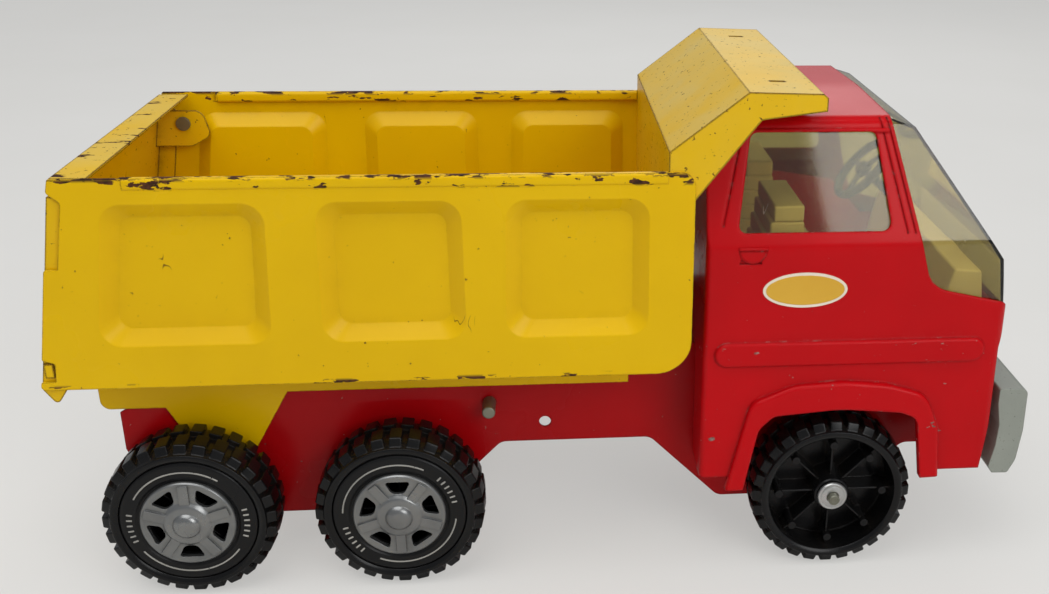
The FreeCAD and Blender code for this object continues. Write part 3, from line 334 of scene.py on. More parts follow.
# tinted clear plastic, brown where it is looked at along its thickness
def tintedClear(name, look):
    material, tree, shader, out = newMaterial(name)
    uneven = useGroup(tree, unevenness, Scale=40.0, GrainScale=900.0, Seed=look["seed"])
    lines = maskOf(tree, scratches, Scale=260.0, Width=0.006, Share=look["lines"],
                     Seed=look["seed"])
    worn = useGroup(tree, edgeWear, Rounding=0.0004, Spread=0.0, Seed=1.0)
    tree.links.new(mixed(tree, uneven["Value"], look["colour"], look["shade"]), shader.inputs["Base Color"])
    rough = plus(tree, look["roughness"], times(tree, lines, 0.3))
    tree.links.new(rough, shader.inputs["Roughness"])
    shader.inputs["Transmission Weight"].default_value = 1.0
    shader.inputs["Specular IOR Level"].default_value = 0.3
    shader.inputs["IOR"].default_value = 1.49
    finishNormal(tree, shader, worn["Normal"], uneven["Height"], 0.08, 0.0002)
    clear = put(tree, "BsdfTransparent", {"Color": look["shadowTint"]})
    shadowRay = put(tree, "LightPath").outputs["Is Shadow Ray"]
    both = put(tree, "MixShader", {0: shadowRay, 1: shader.outputs[0], 2: clear.outputs[0]})
    tree.links.new(both.outputs[0], out.inputs["Surface"])
    tint = put(tree, "VolumeAbsorption", {"Color": look["depthColour"], "Density": look["depth"]})
    tree.links.new(tint.outputs[0], out.inputs["Volume"])
    return material


yellow = {
    "seed": 1.0, "colour": screen(228, 184, 0), "shade": screen(219, 174, 0),
    "dustAndSheen": 0.05, "dustAndSheenColour": screen(222, 196, 90),
    "grimeAndShade": 0.75, "grimeAndShadeColour": screen(92, 60, 8),
    "lines": 0.34, "lineStrength": 0.8, "lineColour": screen(84, 54, 16),
    "wear": 0.34, "rounding": 0.0009, "chips": 0.27, "chipScale": 420.0,
    "bareColour": screen(46, 29, 20), "rustColour": screen(92, 54, 30),
    "roughness": 0.29, "shine": 0.15, "bump": 0.22,
}
yellowPaint = enamel("yellowEnamel", yellow)
tubPaint = enamel("yellowEnamelBed", {**yellow, "seed": 3.0, "bands": ((176.4, 179.4, 0.56, 210.0),
                                                                       (179.9, 182.0, 0.72, 240.0),
                                                                       (96.0, 98.0, 0.58, 190.0))})
gatePaint = enamel("yellowEnamelTailgate", {**yellow, "seed": 6.0, "wear": 0.56, "dustAndSheen": 0.46, "grimeAndShade": 0.9,
                                            "dustAndSheenColour": screen(200, 184, 118), "chips": 0.38,
                                            "rounding": 0.0012, "fold": 0.012,
                                            "bands": ((178.0, 182.0, 0.5, 190.0),)})
# the guard's heavy top-face film: pale dust and a painted reflection of the bright surroundings
guardPaint = enamel("yellowEnamelGuard", {**yellow, "seed": 9.0, "wear": 0.66, "wearScale": 110.0,
                                          "rounding": 0.0013, "fold": 0.006, "dustAndSheen": 0.72, "chips": 0.4,
                                          "chipScale": 520.0,
                                          "dustAndSheenColour": screen(202, 184, 122), "grimeAndShade": 0.85})
red = {
    "seed": 12.0, "colour": screen(190, 4, 14), "shade": screen(176, 3, 11),
    "dustAndSheen": 0.015, "dustAndSheenColour": screen(196, 84, 88),
    "grimeAndShade": 0.45, "grimeAndShadeColour": screen(70, 6, 8),
    "lines": 0.3, "lineStrength": 0.45, "lineColour": screen(206, 116, 112),
    "wear": 0.25, "rounding": 0.0016, "chips": 0.26, "chipScale": 420.0,
    "bareColour": screen(92, 60, 54), "rustColour": screen(152, 126, 118),
    "roughness": 0.24, "shine": 0.14, "bump": 0.16,
}
cabPaint = enamel("redEnamelCab", {**red, "bands": ((61.0, 72.0, 0.40, 300.0), (98.0, 106.5, 0.34, 420.0))})
framePaint = enamel("redEnamelFrame", {**red, "seed": 15.0, "dustAndSheen": 0.05, "grimeAndShade": 0.8, "lines": 0.3,
                                       "colour": screen(176, 6, 14), "shade": screen(158, 4, 10)})

black = {
    "seed": 20.0, "colour": screen(9, 9, 10), "shade": screen(14, 14, 15),
    "wear": 0.22, "rounding": 0.0004, "edgeColour": screen(74, 72, 70),
    "specks": 0.02, "speckColour": screen(90, 84, 76), "grimeAndShade": 0.35, "grimeAndShadeColour": screen(58, 50, 42),
    "dustAndSheen": 0.06, "dustAndSheenColour": screen(70, 65, 56), "roughness": 0.24, "shine": 0.24,
}
tyreRubber = moulded("tyreBlack", black)
discPlastic = moulded("discBlack", {**black, "seed": 23.0, "dustAndSheen": 0.05, "roughness": 0.3,
                                    "colour": screen(11, 11, 12)})
# the discs' raised arcs, coloured pale grey all over
paleArcGrey = moulded("discArcPale", {**black, "seed": 24.0, "dustAndSheen": 0.3, "roughness": 0.4,
                                      "colour": screen(148, 146, 140), "shade": screen(176, 173, 165),
                                      "speckColour": screen(20, 20, 20), "specks": 0.3})
cream = moulded("creamPlastic", {
    "seed": 26.0, "colour": screen(246, 240, 220), "shade": screen(238, 230, 206),
    "wear": 0.1, "rounding": 0.0006, "edgeColour": screen(246, 240, 220),
    "specks": 0.0, "speckColour": screen(120, 104, 78), "grimeAndShade": 0.25, "grimeAndShadeColour": screen(146, 126, 92),
    "dustAndSheen": 0.12, "dustAndSheenColour": screen(200, 188, 156), "roughness": 0.42})
stickerCream = moulded("stickerCream", {
    "seed": 60.0, "colour": screen(238, 226, 208), "shade": screen(226, 212, 190),
    "wear": 0.4, "rounding": 0.0004, "edgeColour": screen(150, 92, 74), "specks": 0.05,
    "speckColour": screen(170, 96, 84), "grimeAndShade": 0.3, "grimeAndShadeColour": screen(120, 80, 60),
    "dustAndSheen": 0.05, "dustAndSheenColour": screen(214, 196, 170), "roughness": 0.36})
stickerField = moulded("stickerField", {
    "seed": 63.0, "colour": screen(220, 172, 48), "shade": screen(208, 158, 36),
    "wear": 0.3, "rounding": 0.0004, "edgeColour": screen(238, 226, 208), "specks": 0.06,
    "speckColour": screen(236, 224, 204), "grimeAndShade": 0.2, "grimeAndShadeColour": screen(120, 80, 60),
    "dustAndSheen": 0.05, "dustAndSheenColour": screen(214, 196, 170), "roughness": 0.34})
darkPlastic = moulded("darkPlastic", {**black, "seed": 29.0, "colour": screen(40, 52, 50),
                                      "shade": screen(50, 62, 58), "dustAndSheen": 0.1})
grillePlastic = moulded("greyPlastic", {
    "seed": 31.0, "colour": screen(150, 152, 150), "shade": screen(136, 138, 136),
    "wear": 0.15, "rounding": 0.0004, "edgeColour": screen(190, 192, 190),
    "specks": 0.05, "speckColour": screen(92, 92, 88), "grimeAndShade": 0.7, "grimeAndShadeColour": screen(52, 48, 42),
    "dustAndSheen": 0.12, "dustAndSheenColour": screen(168, 164, 154), "roughness": 0.34, "metallic": 0.35})
lampPlastic = moulded("lampPlastic", {
    "seed": 33.0, "colour": screen(232, 230, 220), "shade": screen(222, 219, 206),
    "wear": 0.05, "rounding": 0.0005, "edgeColour": screen(244, 243, 238),
    "specks": 0.02, "speckColour": screen(130, 124, 112), "grimeAndShade": 0.5, "grimeAndShadeColour": screen(96, 88, 74),
    "dustAndSheen": 0.1, "dustAndSheenColour": screen(196, 190, 174), "roughness": 0.22})
bumperGrey = moulded("bumperGrey", {
    "seed": 35.0, "colour": screen(152, 156, 146), "shade": screen(136, 140, 131),
    "wear": 0.25, "rounding": 0.0007, "edgeColour": screen(178, 182, 174),
    "specks": 0.40, "speckScale": 620.0, "speckColour": screen(104, 106, 97),
    "grimeAndShade": 0.5, "grimeAndShadeColour": screen(70, 68, 58), "dustAndSheen": 0.2, "dustAndSheenColour": screen(158, 158, 146),
    "roughness": 0.42, "metallic": 0.25, "bump": 0.8})
hubSilver = bareMetal("hubSilver", {
    "seed": 40.0, "colour": screen(138, 139, 138), "shade": screen(116, 117, 117), "lines": 0.2,
    "lineColour": screen(190, 190, 190), "spots": 0.06, "spotColour": screen(84, 82, 78),
    "grimeAndShade": 0.9, "grimeAndShadeColour": screen(40, 38, 36), "metallic": 0.85, "roughness": 0.3, "rounding": 0.0004})
zinc = bareMetal("zinc", {
    "seed": 43.0, "colour": screen(190, 191, 190), "shade": screen(164, 165, 162), "lines": 0.3,
    "lineColour": screen(120, 118, 112), "spots": 0.08, "spotColour": screen(104, 98, 86),
    "grimeAndShade": 0.7, "grimeAndShadeColour": screen(60, 54, 46), "metallic": 0.9, "roughness": 0.3, "rounding": 0.0004})
steelRod = bareMetal("steelRod", {
    "seed": 46.0, "colour": screen(138, 138, 124), "shade": screen(112, 112, 98), "lines": 0.4,
    "lineColour": screen(176, 174, 160), "spots": 0.2, "spotColour": screen(84, 74, 58),
    "grimeAndShade": 0.6, "grimeAndShadeColour": screen(60, 50, 38), "metallic": 0.7, "roughness": 0.42, "rounding": 0.0004})
amberClear = tintedClear("amberGlass", {
    "seed": 50.0, "colour": screen(203, 196, 150), "shade": screen(194, 186, 140),
    "shadowTint": screen(228, 222, 196), "roughness": 0.05, "lines": 0.4,
    "depthColour": screen(190, 140, 70), "depth": 55.0})
print("materials made")


# mesh helpers, all in millimetres until a piece is added
def shapeOf(nodeName, dissolve=0.0):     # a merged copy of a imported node, in millimetres
    bm = bmesh.new()
    bm.from_mesh(nodes[nodeName].data)
    bmesh.ops.remove_doubles(bm, verts=bm.verts, dist=0.000002)
    bmesh.ops.scale(bm, vec=(1000.0, 1000.0, 1000.0), verts=bm.verts)
    if dissolve:
        bmesh.ops.dissolve_limit(bm, angle_limit=math.radians(dissolve), verts=bm.verts, edges=bm.edges)
    return bm


def addPiece(bm, name, body, material, standsFor=(), sharpAngle=30.0, flatAbove=1e9):
    limit = math.radians(sharpAngle)
    for face in bm.faces:
        face.smooth = face.calc_area() < flatAbove
    bmesh.ops.scale(bm, vec=(mm, mm, mm), verts=bm.verts)
    for edge in bm.edges:
        edge.smooth = len(edge.link_faces) == 2 and edge.calc_face_angle(math.pi) < limit
    mesh = bpy.data.meshes.new(name)
    bm.to_mesh(mesh)
    bm.free()
    mesh.materials.append(material)
    piece = bpy.data.objects.new(name, mesh)
    bpy.context.scene.collection.objects.link(piece)
    even = piece.modifiers.new("evenShading", "WEIGHTED_NORMAL")     # flat faces keep flat shading
    even.keep_sharp = True
    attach(piece, body)
    if standsFor:
        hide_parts(*standsFor)
    return piece


def addPlain(name, nodeName, body, material, sharpAngle):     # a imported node, only coloured
    addPiece(shapeOf(nodeName), name, body, material, [nodeName], sharpAngle)


def softenEdges(bm, test, offset, segments=3):     # rounds the edges that pass the test
    chosen = [e for e in bm.edges if len(e.link_faces) == 2 and test(e)]
    bmesh.ops.bevel(bm, geom=chosen, offset=offset, offset_type="OFFSET", segments=segments, profile=0.5,
                    affect="EDGES", clamp_overlap=True, material=-1)


def turnedShape(bm, points, steps, closed=True):     # spins (radius, along) points about the Y axis
    ring = [bm.verts.new((radius, along, 0.0)) for radius, along in points]
    edges = [bm.edges.new((ring[i - 1], ring[i])) for i in range(0 if closed else 1, len(ring))]
    bmesh.ops.spin(bm, geom=ring + edges, cent=(0, 0, 0), axis=(0, 1, 0), angle=math.tau, steps=steps,
                   use_merge=True)
    bmesh.ops.remove_doubles(bm, verts=bm.verts, dist=0.001)
    bmesh.ops.recalc_face_normals(bm, faces=bm.faces)


def turnVerts(bm, verts, degrees, axis):     # turns part of a mesh about an axis through the origin
    turn = Matrix.Rotation(math.radians(degrees), 3, axis)
    bmesh.ops.rotate(bm, cent=(0, 0, 0), matrix=turn, verts=verts)


def block(bm, low, high):     # a box between two corners
    made = bmesh.ops.create_cube(bm, size=1.0)["verts"]
    size = [high[i] - low[i] for i in range(3)]
    middle = [(high[i] + low[i]) / 2 for i in range(3)]
    bmesh.ops.scale(bm, vec=size, verts=made)
    bmesh.ops.translate(bm, vec=middle, verts=made)
    return made


def copiesAround(bm, pieceBm, count, first=0.0):     # copies of one shape turned about the Y axis
    mesh = bpy.data.meshes.new("pattern")
    pieceBm.to_mesh(mesh)
    for index in range(count):
        before = len(bm.verts)
        bm.from_mesh(mesh)
        bm.verts.ensure_lookup_table()
        bmesh.ops.rotate(bm, cent=(0, 0, 0), matrix=Matrix.Rotation(math.radians(first) +
                         math.tau * index / count, 3, "Y"), verts=bm.verts[before:])
    bpy.data.meshes.remove(mesh)


def prism(bm, points, low, high):     # a plate seen from the side, (x, z) points, between two y levels
    face = bm.faces.new([bm.verts.new((x, low, z)) for x, z in points])
    made = bmesh.ops.extrude_face_region(bm, geom=[face])["geom"]
    moved = [v for v in made if isinstance(v, bmesh.types.BMVert)]
    bmesh.ops.translate(bm, vec=(0, high - low, 0), verts=moved)
    bmesh.ops.recalc_face_normals(bm, faces=bm.faces)
    return list(face.verts) + moved


def roundCorners(bm, verts, radius, segments=4):     # rounds the upright corners of a fresh prism
    group = set(verts)
    chosen = [e for e in bm.edges if set(e.verts) <= group
              and abs(e.verts[0].co.y - e.verts[1].co.y) > 0.01]
    bmesh.ops.bevel(bm, geom=chosen, offset=radius, offset_type="OFFSET", segments=segments, profile=0.5,
                    affect="EDGES", clamp_overlap=True, material=-1)


def carved(bm, cutter):     # the shape with the cutter's volume taken out; both are used up
    names = ("carvedBody", "carvedTool")
    holders = []
    for name, shape in zip(names, (bm, cutter)):
        mesh = bpy.data.meshes.new(name)
        shape.to_mesh(mesh)
        shape.free()
        holder = bpy.data.objects.new(name, mesh)
        bpy.context.scene.collection.objects.link(holder)
        holders.append(holder)
    cut = holders[0].modifiers.new("cut", "BOOLEAN")
    cut.operation = "DIFFERENCE"
    cut.solver = "EXACT"
    cut.object = holders[1]
    graph = bpy.context.evaluated_depsgraph_get()
    left = bpy.data.meshes.new_from_object(holders[0].evaluated_get(graph))
    result = bmesh.new()
    result.from_mesh(left)
    used = [left] + [holder.data for holder in holders]
    for holder in holders:
        bpy.data.objects.remove(holder)
    for mesh in used:
        bpy.data.meshes.remove(mesh)
    return result


def toWheelPlace(bm, station, left, turn=0.0):     # from the wheel's own axis to its place on the truck
    turnVerts(bm, bm.verts, turn, "Y")
    face = station["face"]
    if left:
        turnVerts(bm, bm.verts, 180.0, "Z")
    bmesh.ops.translate(bm, vec=(station["x"], face if left else -face, axleHeight), verts=bm.verts)


# tyres: a lugged tread, a deep recess with thin ribs and posts, and a hub
tyreLook = {
    "radius": 35.0, "treadDepth": 2.6, "width": 24.0, "lugs": 28, "lugWidth": 5.1, "lugReach": 10.8,
    "recess": 27.3, "web": 14.5, "webThickness": 2.0, "hub": 7.6, "bore": 4.06, "hubFace": 1.2,
    "hubEnd": {"rear": 25.0, "middle": 25.0, "front": 23.5},
    "ribs": 8, "ribThickness": 1.0, "ribDepth": 9.0, "postRadius": 1.9, "postAt": 0.83,
}


def tyreShape(look, hubEnd):
    bm = bmesh.new()
    carcass = look["radius"] - look["treadDepth"]
    lip, web, width, hub = look["recess"], look["web"], look["width"], look["hub"]
    turnedShape(bm, [
        (lip, 1.3), (lip + 0.25, 0.9), (lip + 1.5, 0.1), (lip + 2.4, 0.0), (lip + 3.2, 0.35),
        (carcass - 1.0, 2.3), (carcass - 0.35, 3.4), (carcass, 6.0), (carcass, width - 6.0),
        (carcass - 0.35, width - 3.4), (carcass - 1.0, width - 2.3), (lip + 2.4, width - 0.2),
        (lip + 1.4, width), (lip - 0.4, width - 0.3), (lip - 1.0, width - 1.0),
        (lip - 1.0, web + look["webThickness"] + 1.0), (lip - 2.0, web + look["webThickness"]),
        (hub + 0.8, web + look["webThickness"]), (hub, web + look["webThickness"] + 0.8),
        (hub, hubEnd), (look["bore"], hubEnd), (look["bore"], look["hubFace"]),
        (hub - 0.5, look["hubFace"]), (hub, look["hubFace"] + 0.5), (hub + 0.8, web), (lip - 0.6, web),
        (lip - 0.1, web - 0.6)], 112)
    lug = bmesh.new()
    half = look["lugWidth"] / 2
    block(lug, (-half, 0.9, carcass - 1.6), (half, look["lugReach"], look["radius"] - 0.05))
    outerTop = [v for v in lug.verts if v.co.y < 1.0 and v.co.z > carcass]
    bmesh.ops.translate(lug, vec=(0, 1.9, -0.55), verts=outerTop)
    outerLow = [v for v in lug.verts if v.co.y < 1.0 and v.co.z < carcass]
    bmesh.ops.translate(lug, vec=(0, 0.1, -0.9), verts=outerLow)
    softenEdges(lug, lambda e: e.calc_face_angle(0) > 0.5, 0.6, 2)
    copiesAround(bm, lug, look["lugs"])
    bmesh.ops.scale(lug, vec=(1, -1, 1), verts=lug.verts)
    bmesh.ops.reverse_faces(lug, faces=lug.faces)
    bmesh.ops.translate(lug, vec=(0, width, -0.12), verts=lug.verts)
    copiesAround(bm, lug, look["lugs"], 180.0 / look["lugs"])
    lug.free()
    rib = bmesh.new()
    thin = look["ribThickness"] / 2
    block(rib, (-thin, web - look["ribDepth"], hub - 1.0), (thin, web + 0.5, lip - 0.2))
    softenEdges(rib, lambda e: e.calc_face_angle(0) > 0.5, 0.2, 1)
    post = bmesh.ops.create_cone(rib, cap_ends=True, segments=20, radius1=look["postRadius"],
                                 radius2=look["postRadius"] - 0.15, depth=web - 2.5)["verts"]
    turnVerts(rib, post, 90, "X")
    bmesh.ops.translate(rib, vec=(0, (web + 3.5) / 2, lip * look["postAt"]), verts=post)
    copiesAround(bm, rib, look["ribs"])
    rib.free()
    return bm


for axle, station in stations.items():
    for side in ("right", "left"):
        shape = tyreShape(tyreLook, tyreLook["hubEnd"][axle])
        toWheelPlace(shape, station, side == "left")
        addPiece(shape, "tyre." + axle + "." + side, "wheel_" + axle + "_" + side, tyreRubber,
                 ["tyre_" + axle + "_" + side], 38.0)
print("tyres made")


# sidewall discs: a flat ring with raised plain arcs and a fine step at its rim
discLook = {
    "bore": 15.5, "seat": 19.5, "radius": 27.0, "face": 1.0, "thickness": 2.0, "crown": 0.4,
    "ringRadius": 21.0,
}
markLook = {     # thin raised arcs, with short plain bars between them
    "level": 0.5, "rise": 0.14, "inner": 22.65, "outer": 23.4,
    "arcs": {"rear": ((-60.0, 36.0), (126.0, 236.0)), "middle": ((-86.0, 28.0), (98.0, 204.0)),
             "front": ((-70.0, 20.0), (112.0, 218.0))},
    "bars": {"rear": (-95.0, 93.0), "middle": (62.0, 240.0), "front": (64.0, 246.0)},
    "barCount": 6, "barStep": 6.2, "barLow": 21.9, "barHigh": 24.2, "barWidth": 0.7,
}


def discShape(look):
    bm = bmesh.new()
    edge, face = look["radius"], look["face"]
    turnedShape(bm, [
        (look["bore"], face), (look["seat"], face), (look["seat"] + 0.5, face - 0.25),
        (look["ringRadius"] - 0.5, look["crown"] + 0.05), (look["ringRadius"] - 0.25, look["crown"] - 0.15),
        (look["ringRadius"] + 0.25, look["crown"] - 0.15), (look["ringRadius"] + 0.5, look["crown"]),
        (edge - 2.6, look["crown"]), (edge - 1.2, look["crown"] + 0.12), (edge - 0.5, face - 0.25),
        (edge, face + 0.1), (edge, face + look["thickness"]),
        (look["bore"], face + look["thickness"])], 112)
    bmesh.ops.recalc_face_normals(bm, faces=bm.faces)
    return bm


def markShape(look, axle):
    bm = bmesh.new()
    for start, end in look["arcs"][axle]:
        section = [bm.verts.new((0.0, along, radius)) for radius, along in (
            (look["inner"], look["level"]), (look["inner"] + 0.15, look["rise"]),
            (look["outer"] - 0.15, look["rise"]), (look["outer"], look["level"]))]
        face = bm.faces.new(section)
        turnVerts(bm, section, start, "Y")
        bmesh.ops.spin(bm, geom=[face], cent=(0, 0, 0), axis=(0, 1, 0), angle=math.radians(end - start),
                       steps=30)
    bmesh.ops.remove_doubles(bm, verts=bm.verts, dist=0.0005)
    bar = bmesh.new()
    half = look["barWidth"] / 2
    block(bar, (-half, look["rise"], look["barLow"]), (half, look["level"], look["barHigh"]))
    softenEdges(bar, lambda e: e.calc_face_angle(0) > 0.5, 0.1, 1)
    for place in look["bars"][axle]:
        for index in range(look["barCount"]):
            copiesAround(bm, bar, 1, place + (index - (look["barCount"] - 1) / 2) * look["barStep"])
    bar.free()
    bmesh.ops.recalc_face_normals(bm, faces=bm.faces)
    return bm


hubLook = {
    "outline": ((0.0, -4.7), (2.2, -4.66), (3.7, -4.4), (4.8, -3.7), (5.3, -2.95), (5.6, -2.6),
                (6.3, -2.45), (8.0, -2.2), (8.8, -1.85), (9.5, -1.1), (10.2, -0.72), (16.9, -0.6),
                (17.4, -0.85), (18.3, -0.82), (18.8, -0.4), (19.0, 0.2), (19.0, 1.0), (7.2, 1.0),
                (7.2, -1.1), (3.1, -1.1), (3.1, -4.0), (0.0, -4.0)),
    "window": ((-5.3, 15.7), (5.3, 15.7), (2.5, 10.2), (-2.5, 10.2)), "windowRound": 1.6, "count": 5,
    "spokeWidth": 4.0, "spokeFace": -1.75, "spokeStart": 8.6, "spokeEnd": 17.5, "grooveWidth": 1.5,
}


def hubCapShape(look):
    bm = bmesh.new()
    turnedShape(bm, look["outline"], 80, closed=False)
    windows = bmesh.new()
    window = bmesh.new()
    roundCorners(window, prism(window, look["window"], -3.0, 4.0), look["windowRound"], 5)
    copiesAround(windows, window, look["count"])
    window.free()
    bm = carved(bm, windows)
    spoke = bmesh.new()
    half = look["spokeWidth"] / 2
    block(spoke, (-half, look["spokeFace"], look["spokeStart"]), (half, -0.4, look["spokeEnd"]))
    top = [f for f in spoke.faces if f.normal.y < -0.9]
    bmesh.ops.inset_region(spoke, faces=top, thickness=look["grooveWidth"] / 2 + 0.1, depth=0.0)
    bmesh.ops.translate(spoke, vec=(0, 0.28, 0), verts=list({v for f in top for v in f.verts}))
    softenEdges(spoke, lambda e: e.calc_face_angle(0) > 0.9, 0.3, 2)
    copiesAround(bm, spoke, look["count"], 180.0 / look["count"])
    spoke.free()
    return bm


hubCap = bpy.data.meshes.new("hubCapPattern")
pattern = hubCapShape(hubLook)
pattern.to_mesh(hubCap)
pattern.free()
for axle, station in stations.items():
    for side in ("right", "left"):
        if (axle, side) == ("front", "right"):     # this wheel's disc and cap are gone
            continue
        body = "wheel_" + axle + "_" + side
        shape = discShape(discLook)
        toWheelPlace(shape, station, side == "left")
        addPiece(shape, "sidewallDisc." + axle + "." + side, body, discPlastic,
                 ["wheel_disc_" + axle + "_" + side], 35.0)
        shape = markShape(markLook, axle)
        toWheelPlace(shape, station, side == "left")
        addPiece(shape, "sidewallMarks." + axle + "." + side, body, paleArcGrey, (), 40.0)
        shape = bmesh.new()
        shape.from_mesh(hubCap)
        toWheelPlace(shape, station, side == "left", station["capTurn"])
        addPiece(shape, "hubCap." + axle + "." + side, body, hubSilver,
                 ["hub_cap_" + axle + "_" + side], 32.0)
bpy.data.meshes.remove(hubCap)
print("discs and hub caps made")


# zinc caps pressed on the axle ends, and the axle tips with their turned rings
capLook = {"bore": 2.38, "sleeve": 4.0, "head": 6.5, "front": -0.9, "back": 0.9, "sleeveEnd": 18.5}
tipLook = {"radius": 2.38, "end": 73.4, "grooves": (0.7, 1.5)}


def retainerShape(look):
    bm = bmesh.new()
    front, back, head, bore = look["front"], look["back"], look["head"], look["bore"]
    turnedShape(bm, [
        (bore, front + 0.15), (bore + 0.35, front - 0.1), (bore + 1.0, front), (head - 1.9, front + 0.1),
        (head - 1.5, front + 0.35), (head - 1.1, front + 0.15), (head - 0.5, front + 0.2),
        (head - 0.1, front + 0.6), (head, front + 1.0), (head, back - 0.3), (head - 0.3, back),
        (look["sleeve"], back), (look["sleeve"], look["sleeveEnd"]), (bore, look["sleeveEnd"])], 48)
    return bm


retainers = bmesh.new()
for station in stations.values():
    for left in (False, True):
        cap = retainerShape(capLook)
        toWheelPlace(cap, station, left)
        scratch = bpy.data.meshes.new("scratch")
        cap.to_mesh(scratch)
        cap.free()
        retainers.from_mesh(scratch)
        bpy.data.meshes.remove(scratch)
addPiece(retainers, "wheelRetainers", "chassis", zinc, ["wheel_retainers"], 35.0)


def axleShape(look, station):
    bm = bmesh.new()
    radius, end = look["radius"], look["end"]
    points = [(0.0, -end + 0.25)]
    for groove in look["grooves"]:
        points += [(groove - 0.12, -end), (groove, -end + 0.2), (groove + 0.12, -end)]
    points += [(radius - 0.35, -end), (radius, -end + 0.4)]
    points += [(r, -y) for r, y in reversed(points)]
    turnedShape(bm, points, 40, closed=False)
    bmesh.ops.translate(bm, vec=(station["x"], 0, axleHeight), verts=bm.verts)
    return bm


for axle, station in stations.items():
    addPiece(axleShape(tipLook, station), "axle." + axle, "chassis", steelRod,
             [axle + "_axle"], 25.0)
addPlain("hubSpacers", "hub_spacers", "chassis", zinc, 35.0)
print("axles made")


# bed: the side walls' pressed panels with softly rounded bands
bedLook = {     # the levels across the wall and the panel, and the stretch that holds the panels
    "levels": (73.0, 72.0, 68.5, 67.5), "off": 0.02, "high": (112.0, 172.5), "along": (-176.5, 38.0),
    "fold": 22.0, "bandRound": 1.9,
}


def onPanelRim(edge):     # where a panel's sloping band meets the wall or the panel's own flat
    if edge.calc_face_angle(0) < math.radians(bedLook["fold"]):
        return False
    low, high = bedLook["high"]
    rear, front = bedLook["along"]
    for vert in edge.verts:
        flat = min(abs(abs(vert.co.y) - level) for level in bedLook["levels"])
        if flat > bedLook["off"] or not low < vert.co.z < high or not rear < vert.co.x < front:
            return False
    return abs(edge.verts[0].co.y - edge.verts[1].co.y) < 0.01


tub = shapeOf("bed_tub", 0.3)
softenEdges(tub, onPanelRim, bedLook["bandRound"], 5)
addPiece(tub, "bedTub", "bed", tubPaint, ["bed_tub"], 30.0, 60.0)

rimLook = {"start": -156.8, "end": 41.0, "outer": 73.5, "inner": 69.9, "low": 175.6, "high": 180.4,
           "round": 1.3}
for sign, side in ((-1, "right"), (1, "left")):     # the rolled rim along each side wall
    roll = bmesh.new()
    across = sorted((sign * rimLook["outer"], sign * rimLook["inner"]))
    block(roll, (rimLook["start"], across[0], rimLook["low"]), (rimLook["end"], across[1], rimLook["high"]))
    softenEdges(roll, lambda e: abs(e.verts[0].co.x - e.verts[1].co.x) > 1.0, rimLook["round"], 4)
    addPiece(roll, "rimRoll." + side, "bed", tubPaint, (), 40.0)

addPlain("headboard", "bed_headboard", "bed", guardPaint, 20.0)
addPlain("bedChannel", "bed_channel", "bed", yellowPaint, 20.0)
addPlain("tailgateSheet", "tailgate", "tailgate", gatePaint, 20.0)
addPlain("tailgatePins", "tailgate_pins", "bed", steelRod, 30.0)
print("bed made")


# chassis frame and cab
addPlain("chassisFrame", "chassis_frame", "chassis", framePaint, 8.0)
addPlain("cabShell", "cab_shell", "chassis", cabPaint, 20.0)
addPlain("crossRod", "cross_rod", "chassis", steelRod, 30.0)
addPlain("bedHingePin", "bed_hinge_pin", "chassis", steelRod, 30.0)
addPlain("grilleInsert", "grille", "chassis", grillePlastic, 30.0)
addPlain("bumperBar", "bumper", "chassis", bumperGrey, 32.0)
addPlain("bumperScrews", "bumper_screws", "chassis", steelRod, 30.0)
addPlain("windowUnit", "window_unit", "chassis", amberClear, 25.0)

lampLook = {"x": 181.5, "y": 52.0, "z": 92.0, "radius": 7.8, "rim": 9.4, "ringStep": 1.5}
lamps = bmesh.new()
for sign in (-1, 1):     # a rimmed lens with fine moulded rings
    chain = [(0.0, 0.95)]
    radius = lampLook["ringStep"]
    while radius < lampLook["radius"] - 0.6:
        chain += [(radius - 0.2, 0.9), (radius, 0.7), (radius + 0.2, 0.9)]
        radius += lampLook["ringStep"]
    chain += [(lampLook["radius"] - 0.4, 0.6), (lampLook["radius"], 1.1), (lampLook["rim"] - 0.3, 1.15),
              (lampLook["rim"], 0.8), (lampLook["rim"], 0.05), (lampLook["radius"], 0.05),
              (lampLook["radius"], -2.0), (0.0, -2.0)]
    points = [lamps.verts.new((along, 0.0, radius)) for radius, along in chain]
    edges = [lamps.edges.new((points[i], points[i + 1])) for i in range(len(points) - 1)]
    before = len(lamps.verts) - len(points)
    bmesh.ops.spin(lamps, geom=points + edges, cent=(0, 0, 0), axis=(1, 0, 0), angle=math.tau, steps=40,
                   use_merge=True)
    lamps.verts.ensure_lookup_table()
    bmesh.ops.translate(lamps, vec=(lampLook["x"], sign * lampLook["y"], lampLook["z"]),
                        verts=lamps.verts[before:])
bmesh.ops.remove_doubles(lamps, verts=lamps.verts, dist=0.001)
bmesh.ops.recalc_face_normals(lamps, faces=lamps.faces)
addPiece(lamps, "headlampLenses", "chassis", lampPlastic, ["headlamps"], 30.0)

